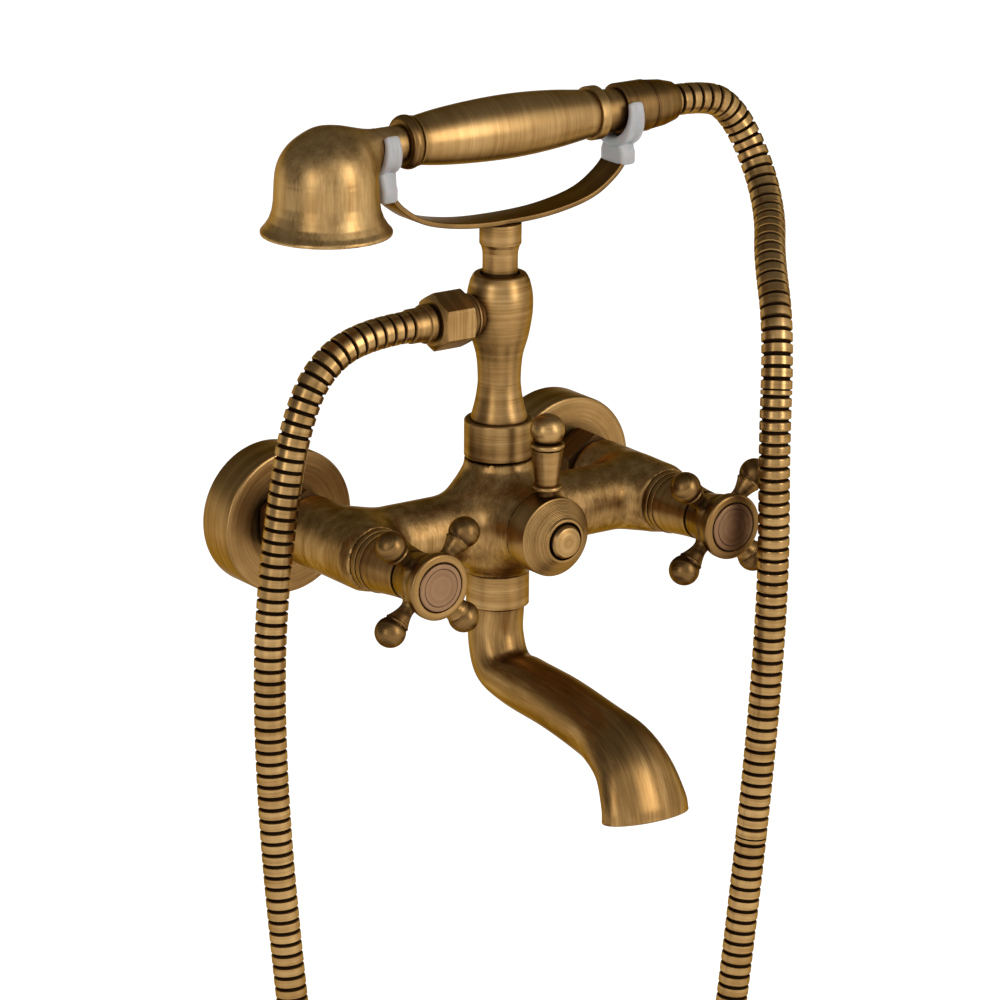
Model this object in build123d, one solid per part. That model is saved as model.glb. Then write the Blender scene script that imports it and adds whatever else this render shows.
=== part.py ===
from build123d import *
import os
from math import cos, radians, sin, sqrt, tan

# Wall-held bath shower mixer, in millimetres. The origin is midway between the two supply threads on the
# wall plane. +X is to the right when facing the wall, +Y goes into the wall and +Z is up. Lengths of the
# pieces that point out of the wall are measured from the wall plane.

# Set-out
wall_spacing = 150.0         # between the two supply threads
body_spacing = 154.0         # between the two valves; the eccentric unions take up the rest
reach = 70.0                 # wall to the axis of the body
rise = 1.6                   # axis of the body above the supply threads
boss_lift = 2.4              # diverter axis above the axis of the body

# Fits and cuts
thread_gap = 0.1             # radial gap of a thread, a plug or a snug cover
running_gap = 0.06           # radial gap of a turning shaft
seat_gap = 0.3               # between pieces that move past each other
overrun = 2.0                # how far a cut runs past the face that it opens

# Wall flange
flange_r = 32.3
flange_depth = 19.5
flange_wall = 1.6
flange_round = 2.0

# Eccentric union, its nut and its washer
supply_thread_r = 10.4775    # G 1/2
supply_thread_length = 13.0
union_shoulder = 1.0
union_r = 12.0
union_bore_r = 7.2
union_web = 1.5
union_cross = 4.0            # length over which the two offset bores meet
tail_r = 10.6
tail_collar_r = 13.0
tail_collar_thick = 3.0
washer_thick = 2.0
washer_bore_r = 7.4
union_nut_flats = 30.0
union_nut_lip = 4.1
union_nut_gap = 0.5          # nut to its neighbours
hex_chamfer = 1.2

# Mixer body
end_behind = 32.0            # back of a valve end, behind the axis of the body
spigot_r = 13.2              # G 3/4
spigot_length = 7.8
end_r = 15.5
end_back_round = 2.5
end_nose_r = 14.5
end_nose_length = 5.5
seat_ahead = 19.5            # headwork seat in front of the axis of the body
arm_r = 14.9
hub_r = 17.8
hub_above = 28.1             # hub above and below the axis of the body
hub_below = 22.6
hub_shoulder = 3.0
hub_foot_r = 13.7
hub_foot_length = 7.5
boss_r = 17.3
boss_ahead = 30.7            # face of the boss in front of the axis of the body
casting_blend = 5.0          # fillet where hub, arms and boss meet
end_blend = 3.5              # fillet where an arm meets its end
riser_spigot_r = 13.0
riser_spigot_length = 7.3
spout_spigot_r = 12.5
spout_spigot_length = 10.0
waterway_r = 8.0
waterway_below = 13.6        # foot of the upper waterway below the axis of the body
cross_bore_r = 5.5

# Valve headwork, discs, spindle and shroud
headwork_r = 9.5
headwork_depth = 27.0
headwork_flange_r = 12.0
headwork_flange_thick = 2.0
headwork_neck_r = 7.0
headwork_inset = 0.4         # headwork behind the tip of its shroud
headwork_chamber_r = 7.8
headwork_port_r = 2.6
disc_thick = 3.0
disc_r = 7.5
disc_gap = 0.05
disc_port_r = 1.9
disc_port_offset = 4.2
spindle_r = 4.0
spindle_foot_r = 6.4
spindle_foot_thick = 2.2
spindle_ahead = 7.6          # end of a valve spindle in front of the foot of its handle
spindle_ring_ahead = 9.5     # middle of the two rubber rings in front of the headwork seat
spindle_ring_pitch = 5.0
ring_r = 0.7                 # section radius of the small rubber rings
ring_ease = 0.03
shroud_foot_r = 13.7
shroud_foot_width = 3.2
shroud_groove = 0.6
shroud_bead_r = 13.4
shroud_bead_width = 2.6
shroud_base_r = 12.9
shroud_waist_r = 11.6
shroud_waist_length = 17.5   # from the headwork seat
shroud_tip_r = 10.9
shroud_length = 26.5
shroud_wall = 1.5

# Cross handle
handle_gap = 0.4             # shroud to the foot of the handle
handle_foot_r = 10.4
handle_barrel_r = 10.9
handle_barrel_length = 3.8
handle_cross_r = 12.4
arm_ahead = 11.1             # plane of the four arms in front of the handle's foot
handle_neck_r = 11.4
handle_ring_ahead = 15.6     # back of the front ring in front of the handle's foot
handle_ring_r = 14.6
handle_ring_width = 5.4
handle_ring_round = 1.5
handle_web_thick = 5.8
handle_tip_gap = 0.6         # spindle end to the web of the handle
arm_count = 4
arm_turn = 45.0              # degrees
arm_start = 6.0
arm_root_at = 9.5
arm_root_r = 4.5
arm_waist_at = 14.2
arm_waist_r = 3.2
arm_end_r = 4.9
bead_r = 5.6
bead_width = 1.3
bead_seat_r = 4.3
ball_r = 6.5
ball_centre = 26.5
cap_r = 10.6
cap_recess = 2.8
cap_thick = 3.3
cap_edge = 0.6
screw_head_r = 4.4
screw_head_thick = 3.0
screw_r = 2.0
screw_reach = 6.0            # thread in the spindle
screw_slot_width = 1.0
screw_slot_depth = 1.2

# Diverter
housing_r = 10.9
housing_behind = 10.0        # back of the housing behind the axis of the body
housing_cap_r = 10.4
housing_cap_length = 3.5
housing_port_r = 5.0
rotor_r = 8.4
rotor_thick = 4.0
rotor_clear = 2.0            # housing back to the rotor
knob_r = 17.4
knob_width = 11.6
knob_edge = 0.6
knob_nose_length = 7.4
knob_nose_r = 9.5
knob_recess_r = 10.9
knob_recess_depth = 3.6
button_well_r = 8.3
button_well_depth = 5.4
button_r = 7.3
button_length = 7.7
button_edge = 0.7
button_hollow_r = 5.0
button_skin = 4.0
diverter_web_thick = 3.6     # spindle end to the floor of the button's well
lever_ahead = 5.0            # lever axis in front of the back of the knob
lever_stud_r = 2.9
lever_stud_length = 4.5
lever_flat = 0.4             # depth of the spot face under the lever
lever_neck_r = 3.6
lever_neck_length = 2.6
lever_foot_r = 6.6
lever_foot_thick = 2.7
lever_foot_round = 0.8
lever_cone_foot_r = 5.0
lever_cone_top_r = 6.9
lever_cone_length = 15.7
lever_bead_r = 7.7
lever_bead_thick = 3.0
lever_ball_r = 7.4
lever_ball_lift = 5.3        # ball centre above the bead

# Spout, with its collar nut, rings and outlet grid
collar_r = 13.8
collar_drop = 16.0           # foot of the collar nut below the hub
collar_lip = 4.0
collar_top_gap = 0.2
spout_neck_r = 11.8
spout_tail_r = 8.9
spout_tail_length = 15.0
spout_bore_r = 5.8
slip_ring_r = 12.4
slip_ring_thick = 1.4
slip_groove_r = 10.6
tail_ring_drop = 4.0         # upper rubber ring below the top of the tail
tail_ring_pitch = 5.0
spout_reach = 110.0          # body axis to the middle of the mouth
spout_drop = 65.8            # collar nut to the mouth
spout_wall = 2.2
spout_mid_r = 12.8
mouth_half_width = 21.5
mouth_half_depth = 11.2
grid_recess = 2.0
grid_thick = 3.0
grid_gap = 0.9
grid_rim = 1.6
grid_bar = 1.3
grid_slots = 11
# One section a row: forward share, drop share, lean from straight down in degrees, share of the way from
# the neck to the middle, and share of the way from the middle to the mouth
spout_shares = [
    (0.000, 0.000, 0.0, 0.00, 0.00),
    (-0.010, 0.215, 8.0, 0.40, 0.00),
    (0.040, 0.410, 39.0, 0.83, 0.00),
    (0.181, 0.466, 67.0, 1.00, 0.00),
    (0.433, 0.497, 76.0, 1.00, 0.03),
    (0.672, 0.556, 76.0, 1.00, 0.13),
    (0.806, 0.602, 61.0, 1.00, 0.42),
    (0.917, 0.714, 31.0, 1.00, 0.63),
    (0.985, 0.893, 11.0, 1.00, 0.91),
    (1.000, 1.000, 6.0, 1.00, 1.00),
]

# Riser column, its collar nut and seal
riser_nut_r = 15.1
riser_nut_gap = 0.5          # hub to nut
riser_nut_height = 17.1
riser_nut_edge = 0.8
riser_seal_thick = 1.5
riser_flange_r = 12.9
riser_flange_thick = 3.5
riser_foot_r = 12.4
riser_neck_r = 9.35
riser_bulb_r = 14.4
riser_height = 64.7          # above its nut
riser_bore_r = 6.0
riser_socket_depth = 10.5
outlet_drop = 17.0           # hose outlet below the top of the riser
outlet_bore_r = 4.5
# Outline of the column above its nut: share of the height, share of the way from neck to bulb
riser_shares = [
    (0.000, 0.604), (0.113, 0.240), (0.200, 0.060), (0.279, 0.000), (0.430, 0.149),
    (0.569, 0.624), (0.700, 0.920), (0.790, 1.000), (0.870, 0.940), (0.950, 0.720), (1.000, 0.420),
]

# Hose outlet on the bulb, measured out from the riser axis, with its nut, washer and ferrule
outlet_thread_r = 7.0
outlet_thread_in = 8.5
outlet_ring_at = 12.9
outlet_ring_r = 9.7
outlet_valley_r = 9.1        # between the two rounded rings
outlet_ring_width = 2.6
outlet_rings = 2
outlet_male_r = 10.4775      # G 1/2
outlet_male_end = 27.0
hose_nut_flats = 22.8
hose_nut_gap = 1.0
hose_nut_lip = 5.0
lower_collar_r = 9.9
lower_ferrule_r = 7.7
lower_ferrule_proud = 12.2   # past its nut
ferrule_collar_thick = 2.4
flat_washer_thick = 1.6

# Cradle: stem, strap, screw and clips
stem_r = 7.5
stem_neck_length = 12.0      # riser to the shoulder of the stem
stem_shoulder_length = 1.6
stem_head_r = 9.0
stem_head_length = 10.8
stem_ring_depth = 5.0        # rubber ring below the top of the riser
strap_thick = 2.4
strap_width = 15.0
strap_half_span = 62.5
strap_rise = 21.0
strap_shares = [(-1.0, 1.0), (-0.88, 0.60), (-0.68, 0.25), (-0.36, 0.05), (0.0, 0.0),
                (0.36, 0.05), (0.68, 0.25), (0.88, 0.60), (1.0, 1.0)]
strap_screw_head_r = 4.2
strap_screw_head_thick = 1.7
strap_screw_r = 2.4
strap_screw_length = 11.0
clip_at = 62.0               # clip centre from the riser axis
clip_thick = 8.0
clip_wall = 3.2
clip_gap = 0.35
clip_base_width = 12.0
clip_base_drop = 23.5        # foot of a clip below the handset axis
clip_sag = 1.5               # the outer round lies lower than the inner one, so the prongs taper
clip_prong = 4.5             # prong tips above the handset axis

# Handset, lying along X; its lengths are measured from the riser axis
grip_lift = 41.2             # handset axis above the foot of the strap
head_at = 89.5
bell_rim_drop = 34.0         # below the handset axis
bell_rim_r = 28.0
bell_rim_height = 1.2
bell_flare_lift = 6.3        # above the rim
bell_flare_r = 24.4
bell_body_lift = 13.5
bell_body_r = 22.5
bell_dome_lift = 23.0
bell_dome_r = 22.0
bell_wall = 1.8
plate_r = 24.3
plate_thick = 2.2
plate_recess = 0.8
plate_seal_thick = 1.0
plate_seal_width = 3.4
nozzle_r = 0.8
nozzle_rings = 4
nozzle_pitch = 5.2
nozzles_in_ring = 6          # on the first ring, and as many more on each next one
head_neck_r = 7.7
head_root_r = 9.2
head_root_length = 2.6
head_bore_r = 4.6
head_plug_r = 7.2
head_plug_length = 12.0
grip_bead_start = 52.0       # to the left of the riser
grip_bead_width = 7.0
grip_bead_r = 11.7
grip_bead_side_r = 10.2
grip_start_r = 10.6
grip_r = 13.8
grip_end = 45.5
grip_end_r = 10.3
grip_ring_r = 11.8
grip_ring_width = 4.8
grip_bore_r = 6.4
nipple_r = 9.3
nipple_length = 9.7
nipple_plug_r = 8.2
nipple_plug_length = 12.0
nipple_male_r = 8.8
nipple_male_length = 9.0
nipple_bore_r = 4.2
cone_nut_r = 11.3
cone_nut_straight = 15.0
cone_nut_groove_width = 1.2
cone_nut_groove_depth = 0.7
cone_nut_band_r = 10.9
cone_nut_band_length = 7.8
cone_nut_band_end_r = 10.1
cone_nut_length = 30.0
cone_nut_end_r = 8.6
upper_collar_r = 8.6
upper_ferrule_r = 7.2
upper_ferrule_proud = 1.2    # past its nut

# Metal hose; its route goes from the riser, down and round, and up to the handset
hose_r = 6.8
hose_core_r = 5.9
hose_bore_r = 4.4
hose_ribs = 190
rib_shares = [(0.10, 0.0), (0.28, 1.0), (0.72, 1.0), (0.90, 0.0)]  # place in the pitch, height of the rib
bend_share = 0.45            # of the shorter run, taken by each bend
lower_route = [
    (-73, -70, 95), (-94.5, -70, 82.5), (-105, -70, 60), (-110.5, -70, 34), (-116.5, -70, -6),
    (-120.5, -72, -50), (-120, -75, -110), (-116, -79, -174), (-110.5, -84, -242), (-106, -90, -314),
    (-99, -96, -386), (-86, -102, -452), (-57, -108, -509), (-15, -114, -532), (28, -121, -513),
    (54, -128, -457), (64, -134, -388), (68, -139, -317), (72, -144.5, -245), (78.5, -148, -172),
    (84, -150.2, -104), (87.5, -151, -50), (89.2, -150.8, -8), (89, -149.5, 37),
]
hose_joint = (93.25, -144.75, 62.5)
upper_route = [
    (97.5, -140, 88), (111, -115, 113), (125, -97.5, 123), (130.5, -84.5, 137.5), (130, -74.5, 153),
    (123.5, -70.3, 167), (111.5, -70, 176),
]

# Sizes and places that follow
wall_x = wall_spacing / 2
body_x = body_spacing / 2
boss_z = rise + boss_lift
end_back = reach - end_behind
seat_front = reach + seat_ahead
boss_front = reach + boss_ahead
hub_top = rise + hub_above
hub_bottom = rise - hub_below
riser_spigot_top = hub_top + riser_spigot_length
spout_spigot_bottom = hub_bottom - spout_spigot_length
waterway_floor = rise - waterway_below
spigot_back = end_back - spigot_length
tail_end = spigot_back - washer_thick
union_nut_back = tail_end - tail_collar_thick - thread_gap - union_nut_lip
union_nut_front = end_back - union_nut_gap
union_front = union_nut_back - union_nut_gap
valve_floor = seat_front - headwork_depth
moving_disc_back = valve_floor + disc_thick + disc_gap
spindle_foot = moving_disc_back + disc_thick
chamber_front = spindle_foot + spindle_foot_thick + seat_gap
spindle_ring_at = seat_front + spindle_ring_ahead
shroud_bead_back = seat_front + shroud_foot_width + shroud_groove
shroud_bead_front = shroud_bead_back + shroud_bead_width
shroud_waist_at = seat_front + shroud_waist_length
shroud_tip = seat_front + shroud_length
shroud_plate_back = shroud_tip - shroud_wall
headwork_top = shroud_tip - headwork_inset
handle_foot = shroud_tip + handle_gap
handle_barrel_front = handle_foot + handle_barrel_length
arm_plane = handle_foot + arm_ahead
handle_ring_back = handle_foot + handle_ring_ahead
handle_ring_front = handle_ring_back + handle_ring_width
cap_back = handle_ring_front - cap_recess
cap_front = cap_back + cap_thick
valve_spindle_end = handle_foot + spindle_ahead
handle_web_back = valve_spindle_end + handle_tip_gap
handle_web_front = handle_web_back + handle_web_thick
housing_back = reach - housing_behind
rotor_back = housing_back + rotor_clear
rotor_front = rotor_back + rotor_thick
knob_back = boss_front + seat_gap
knob_front = knob_back + knob_width
knob_nose = knob_front + knob_nose_length
lever_at = knob_back + lever_ahead
button_well_floor = knob_nose - button_well_depth
button_front = button_well_floor + button_length
diverter_spindle_end = button_well_floor - diverter_web_thick
lever_seat = knob_r - lever_flat
collar_bottom = hub_bottom - collar_drop
collar_seat = collar_bottom + collar_lip
spout_neck_top = spout_spigot_bottom - seat_gap
riser_flange_bottom = riser_spigot_top + riser_seal_thick
riser_flange_top = riser_flange_bottom + riser_flange_thick
riser_nut_bottom = hub_top + riser_nut_gap
riser_nut_top = riser_nut_bottom + riser_nut_height
riser_foot_top = riser_nut_top + collar_top_gap
riser_top = riser_nut_top + riser_height
riser_socket_floor = riser_top - riser_socket_depth
outlet_z = riser_top - outlet_drop
ferrule_seat = outlet_male_end + flat_washer_thick
hose_nut_seat = ferrule_seat + ferrule_collar_thick + thread_gap
hose_nut_start = outlet_ring_at + outlet_rings * outlet_ring_width + hose_nut_gap
hose_nut_end = hose_nut_seat + hose_nut_lip
lower_ferrule_end = hose_nut_end + lower_ferrule_proud
stem_shoulder = riser_top + stem_neck_length
stem_ring_at = riser_top - stem_ring_depth
strap_bottom = stem_shoulder + stem_head_length
strap_top = strap_bottom + strap_thick
grip_z = strap_bottom + grip_lift
clip_base_bottom = grip_z - clip_base_drop
bell_rim_z = grip_z - bell_rim_drop
bell_flare_at = bell_rim_z + bell_flare_lift
bell_body_at = bell_rim_z + bell_body_lift
bell_dome_z = bell_rim_z + bell_dome_lift
plate_bottom = bell_rim_z + plate_recess
plate_top = plate_bottom + plate_thick
plate_seat = plate_top + plate_seal_thick
nipple_start = grip_end + grip_ring_width
nipple_end = nipple_start + nipple_length
nipple_male_end = nipple_end + nipple_male_length
upper_collar_back = nipple_male_end + flat_washer_thick
cone_nut_seat = upper_collar_back + ferrule_collar_thick + thread_gap
cone_nut_groove_at = nipple_end + cone_nut_straight
cone_nut_band_start = cone_nut_groove_at + cone_nut_groove_width
cone_nut_band_end = cone_nut_band_start + cone_nut_band_length
cone_nut_end = nipple_end + cone_nut_length
upper_ferrule_end = cone_nut_end + upper_ferrule_proud


def point(pair):
    """A (radius, along) pair in the drawing plane."""
    return (pair[0], 0, pair[1])


def turned(place, start, *steps):
    """A turned piece: a pair is a straight step, a pair of pairs an arc, a list a smooth curve."""
    edges, here = [], start
    for step in steps:
        if isinstance(step, list):
            edges.append(Spline(*[point(pair) for pair in [here] + step]))
            here = step[-1]
        elif isinstance(step[0], tuple):
            edges.append(ThreePointArc(point(here), point(step[0]), point(step[1])))
            here = step[1]
        else:
            edges.append(Line(point(here), point(step)))
            here = step
    edges.append(Line(point(here), point(start)))
    return place * revolve(make_face(Wire(edges)), Axis.Z)


def quarter(start, end, centre):
    """Arc of a quarter turn from start to end, as a step of an outline."""
    middle = tuple(c + (a + b - c - c) / sqrt(2) for a, b, c in zip(start, end, centre))
    return (middle, end)


def rod(place, radius, start, end):
    on_end = (Align.CENTER, Align.CENTER, Align.MIN)
    return place * Pos(0, 0, start) * Cylinder(radius, end - start, align=on_end)


def tube(place, radius, bore, start, end):
    return rod(place, radius, start, end) - rod(place, bore, start - overrun, end + overrun)


def hex_bar(place, flats, start, end):
    """Hexagon bar with its corners turned off at both ends."""
    corner_r = flats / sqrt(3)
    bar = place * Pos(0, 0, start) * extrude(RegularPolygon(corner_r, 6), end - start)
    return bar & turned(
        place, (0, start), (flats / 2, start), (corner_r, start + hex_chamfer),
        (corner_r, end - hex_chamfer), (flats / 2, end), (0, end),
    )


def ring_in_bore(place, bore, at):
    return place * Pos(0, 0, at) * Torus(bore + ring_r, ring_r - ring_ease)


def ring_on_shaft(place, shaft, at):
    return place * Pos(0, 0, at) * Torus(shaft - ring_r, ring_r - ring_ease)


def bore_groove(place, bore, at):
    return rod(place, bore + ring_r + ring_r, at - ring_r, at + ring_r)


def shaft_groove(place, shaft, at):
    return tube(place, shaft + overrun, shaft - ring_r - ring_r, at - ring_r, at + ring_r)


def slotted_screw(place, seat, head_r, head_thick, shank_r, shank_length):
    """Flat-headed screw whose head stands on its seat."""
    screw = rod(place, head_r, seat, seat + head_thick) + rod(place, shank_r, seat - shank_length, seat)
    slot = Box(head_r * 2 + overrun, screw_slot_width, screw_slot_depth * 2)
    return screw - place * Pos(0, 0, seat + head_thick) * slot


def facing(x, z):
    """Frame of a piece that points out of the wall, with its up along +Z."""
    return Plane(origin=(x, 0, z), x_dir=(1, 0, 0), z_dir=(0, -1, 0)).location


column = Pos(0, -reach, 0)
boss = facing(0, boss_z)
cross = Plane(origin=(0, -reach, rise), x_dir=(0, 1, 0), z_dir=(1, 0, 0)).location
handset = Plane(origin=(0, -reach, grip_z), x_dir=(0, 1, 0), z_dir=(1, 0, 0)).location
outlet = Plane(origin=(0, -reach, outlet_z), x_dir=(0, 1, 0), z_dir=(-1, 0, 0)).location
bell = Pos(-head_at, -reach, 0)
wall_frames = {"hot": facing(-wall_x, 0), "cold": facing(wall_x, 0)}
valve_frames = {"hot": facing(-body_x, rise), "cold": facing(body_x, rise)}
parts = {}

# Supply side
union_washers = []
for side, wall in wall_frames.items():
    valve = valve_frames[side]
    hole_r = union_r + thread_gap
    edge = (flange_r - flange_round, flange_depth - flange_round)
    inner_front = flange_depth - flange_wall
    parts[side + "_flange"] = turned(
        wall, (flange_r, 0), (flange_r, edge[1]),
        quarter((flange_r, edge[1]), (edge[0], flange_depth), edge),
        (hole_r, flange_depth), (hole_r, inner_front), (edge[0], inner_front),
        quarter((edge[0], inner_front), (flange_r - flange_wall, edge[1]), edge),
        (flange_r - flange_wall, 0),
    )
    union = (
        rod(wall, supply_thread_r, union_shoulder - supply_thread_length, union_shoulder)
        + rod(wall, union_r, union_shoulder, union_front)
        + rod(valve, tail_r, union_front, tail_end)
        + rod(valve, tail_collar_r, tail_end - tail_collar_thick, tail_end)
    )
    union -= rod(wall, union_bore_r, union_shoulder - supply_thread_length - overrun, union_front - union_web)
    union -= rod(valve, union_bore_r, union_front - union_web - union_cross, tail_end + overrun)
    parts[side + "_union"] = union
    nut = hex_bar(valve, union_nut_flats, union_nut_back, union_nut_front)
    nut -= rod(valve, tail_r + thread_gap, union_nut_back - overrun, union_nut_front)
    nut -= rod(valve, spigot_r + thread_gap, union_nut_back + union_nut_lip, union_nut_front + overrun)
    parts[side + "_union_nut"] = nut
    union_washers.append(tube(valve, tail_collar_r - thread_gap, washer_bore_r, tail_end, spigot_back))
parts["union_washers"] = Compound(union_washers)

# Mixer body: hub, arms and boss are one casting with the two ends
shoulder = (hub_r - hub_shoulder, hub_top - hub_shoulder)
back_round = (end_r - end_back_round, end_back + end_back_round)
hub = turned(
    column, (0, hub_bottom), (hub_foot_r, hub_bottom),
    [(hub_foot_r + (hub_r - hub_foot_r) / 2, hub_bottom + hub_foot_length / 5),
     (hub_r, hub_bottom + hub_foot_length)],
    (hub_r, shoulder[1]),
    quarter((hub_r, shoulder[1]), (shoulder[0], hub_top), shoulder),
    (0, hub_top),
)
casting = hub + rod(cross, arm_r, -body_x, body_x) + rod(boss, boss_r, reach, boss_front)
for valve in valve_frames.values():
    casting += turned(
        valve, (0, end_back), (back_round[0], end_back),
        quarter((back_round[0], end_back), (end_r, back_round[1]), back_round),
        (end_r, seat_front - end_nose_length),
        [((end_r + end_nose_r) / 2 + (end_r - end_nose_r) / 4, seat_front - end_nose_length / 2),
         (end_nose_r, seat_front)],
        (0, seat_front),
    )
seams = casting.edges().filter_by(lambda edge: edge.geom_type == GeomType.BSPLINE)
middle_seams = [edge for edge in seams if abs(edge.center().X) < arm_r + boss_r]
casting = fillet(middle_seams, casting_blend)
seams = casting.edges().filter_by(lambda edge: edge.geom_type == GeomType.BSPLINE)
end_seams = [edge for edge in seams if abs(abs(edge.center().X) - body_x) < end_r]
casting = fillet(end_seams, end_blend)
casting += rod(column, riser_spigot_r, hub_top - hub_shoulder, riser_spigot_top)
casting += rod(column, spout_spigot_r, spout_spigot_bottom, hub_bottom + hub_foot_length)
for valve in valve_frames.values():
    casting += rod(valve, spigot_r, spigot_back, back_round[1])
    casting -= rod(valve, headwork_r + thread_gap, valve_floor, seat_front + overrun)
    casting -= rod(valve, union_bore_r, spigot_back - overrun, valve_floor)
casting -= rod(cross, cross_bore_r, -body_x, body_x)
casting -= rod(column, waterway_r, waterway_floor, riser_spigot_top + overrun)
casting -= rod(column, spout_tail_r + running_gap, spout_spigot_bottom - overrun, waterway_floor)
casting -= rod(boss, housing_r + thread_gap, housing_back, boss_front + overrun)
parts["mixer_body"] = casting

# Ceramic valves: the headwork stays, the spindle and the front disc turn with the handle
fixed_discs, spindle_rings = [], []
for side, valve in valve_frames.items():
    headwork = rod(valve, headwork_r, valve_floor, seat_front)
    headwork += rod(valve, headwork_flange_r, seat_front, seat_front + headwork_flange_thick)
    headwork += rod(valve, headwork_neck_r, seat_front, headwork_top)
    headwork -= rod(valve, headwork_chamber_r, valve_floor - overrun, chamber_front)
    headwork -= rod(valve, spindle_r + running_gap, valve_floor, headwork_top + overrun)
    headwork -= valve * Pos(0, 0, chamber_front) * Rot(0, 90, 0) * Cylinder(headwork_port_r, headwork_r * 3)
    disc = rod(valve, disc_r, valve_floor, valve_floor + disc_thick)
    moving_disc = rod(valve, disc_r, moving_disc_back, spindle_foot)
    for sign in (-1, 1):
        across = valve * Pos(sign * disc_port_offset, 0, 0)
        upright = valve * Pos(0, sign * disc_port_offset, 0)
        disc -= rod(across, disc_port_r, valve_floor - overrun, moving_disc_back)
        moving_disc -= rod(upright, disc_port_r, valve_floor, chamber_front)
        at = spindle_ring_at + sign * spindle_ring_pitch / 2
        headwork -= bore_groove(valve, spindle_r + running_gap, at)
        spindle_rings.append(ring_in_bore(valve, spindle_r + running_gap, at))
    fixed_discs.append(disc)
    parts[side + "_headwork"] = headwork
    parts[side + "_moving_disc"] = moving_disc
    spindle = rod(valve, spindle_foot_r, spindle_foot, spindle_foot + spindle_foot_thick)
    spindle += rod(valve, spindle_r, spindle_foot, valve_spindle_end)
    tap_foot = valve_spindle_end - screw_reach - seat_gap
    spindle -= rod(valve, screw_r + thread_gap, tap_foot, valve_spindle_end + overrun)
    parts[side + "_spindle"] = spindle
    shroud_foot_front = seat_front + shroud_foot_width
    hollow_back = seat_front + headwork_flange_thick + seat_gap
    parts[side + "_shroud"] = turned(
        valve, (shroud_foot_r, seat_front), (shroud_foot_r, shroud_foot_front),
        (shroud_base_r - shroud_groove, shroud_foot_front), (shroud_base_r - shroud_groove, shroud_bead_back),
        (shroud_bead_r, shroud_bead_back), (shroud_bead_r, shroud_bead_front),
        (shroud_base_r, shroud_bead_front),
        [(shroud_waist_r, shroud_waist_at), (shroud_tip_r, shroud_tip)],
        (headwork_neck_r + thread_gap, shroud_tip), (headwork_neck_r + thread_gap, shroud_plate_back),
        (shroud_tip_r - shroud_wall, shroud_plate_back), (shroud_waist_r - shroud_wall, shroud_waist_at),
        (shroud_waist_r - shroud_wall, hollow_back), (headwork_flange_r + thread_gap, hollow_back),
        (headwork_flange_r + thread_gap, seat_front),
    )
parts["fixed_ceramic_discs"] = Compound(fixed_discs)
parts["spindle_o_rings"] = Compound(spindle_rings)

# Cross handles: a turned hub with four arms that end in balls, a screw and an index cap
ball_seat = ball_centre - sqrt(ball_r ** 2 - bead_seat_r ** 2)
arm_outline = [
    (0, arm_start), (arm_root_r, arm_start), (arm_root_r, arm_root_at),
    [(arm_waist_r, arm_waist_at), (arm_end_r, ball_seat - bead_width)],
    ((bead_r, ball_seat - bead_width / 2), (bead_seat_r, ball_seat)),
    ((ball_r, ball_centre), (0, ball_centre + ball_r)),
]
for side, valve in valve_frames.items():
    ring_edge_r = handle_ring_r - handle_ring_round
    ring_side = handle_ring_front - handle_ring_round
    handle = turned(
        valve, (0, handle_foot), (handle_foot_r, handle_foot), (handle_barrel_r, handle_barrel_front),
        [(handle_cross_r, arm_plane), (handle_neck_r, handle_ring_back)],
        (ring_edge_r, handle_ring_back),
        ((handle_ring_r, handle_ring_back + handle_ring_round), (handle_ring_r, ring_side)),
        quarter((handle_ring_r, ring_side), (ring_edge_r, handle_ring_front), (ring_edge_r, ring_side)),
        (cap_r + seat_gap, handle_ring_front), (cap_r + seat_gap, cap_back), (0, cap_back),
    )
    for count in range(arm_count):
        turn = arm_turn + count * 360 / arm_count
        handle += turned(valve * Pos(0, 0, arm_plane) * Rot(0, 0, turn) * Rot(0, 90, 0), *arm_outline)
    handle -= rod(valve, spindle_r + thread_gap, handle_foot - overrun, handle_web_back)
    handle -= rod(valve, screw_r + seat_gap, handle_web_back - overrun, handle_web_front)
    handle -= rod(valve, screw_head_r + seat_gap, handle_web_front, cap_back)
    parts[side + "_handle"] = handle
    screw_length = handle_web_front - valve_spindle_end + screw_reach
    parts[side + "_handle_screw"] = slotted_screw(
        valve, handle_web_front, screw_head_r, screw_head_thick, screw_r, screw_length
    )
    parts[side + "_index_cap"] = turned(
        valve, (0, cap_back), (cap_r, cap_back), (cap_r, cap_front - cap_edge), (cap_r - cap_edge, cap_front),
        (0, cap_front),
    )

# Diverter: a rotor behind the knob sends the water to the spout or up the riser
housing_front = boss_front + housing_cap_length
housing = rod(boss, housing_r, housing_back, boss_front) + rod(boss, housing_cap_r, boss_front, housing_front)
housing -= rod(boss, rotor_r + seat_gap, housing_back - overrun, rotor_front + seat_gap)
housing -= rod(boss, spindle_r + running_gap, housing_back, housing_front + overrun)
for turn in (0, 90):
    port = Rot(0, 0, turn) * Rot(0, 90, 0) * Cylinder(housing_port_r, housing_r * 3)
    housing -= boss * Pos(0, 0, reach) * port
parts["diverter_housing"] = housing
parts["diverter_rotor"] = rod(boss, rotor_r, rotor_back, rotor_front) - rod(
    boss, spindle_r + thread_gap, rotor_back + rotor_thick / 2, rotor_front + overrun
)
spindle_bottom = rotor_back + rotor_thick / 2
parts["diverter_spindle"] = rod(boss, spindle_r, spindle_bottom, diverter_spindle_end) - rod(
    boss, screw_r + thread_gap, diverter_spindle_end - screw_reach - seat_gap, diverter_spindle_end + overrun
)
knob_floor = knob_back + knob_recess_depth
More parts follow.
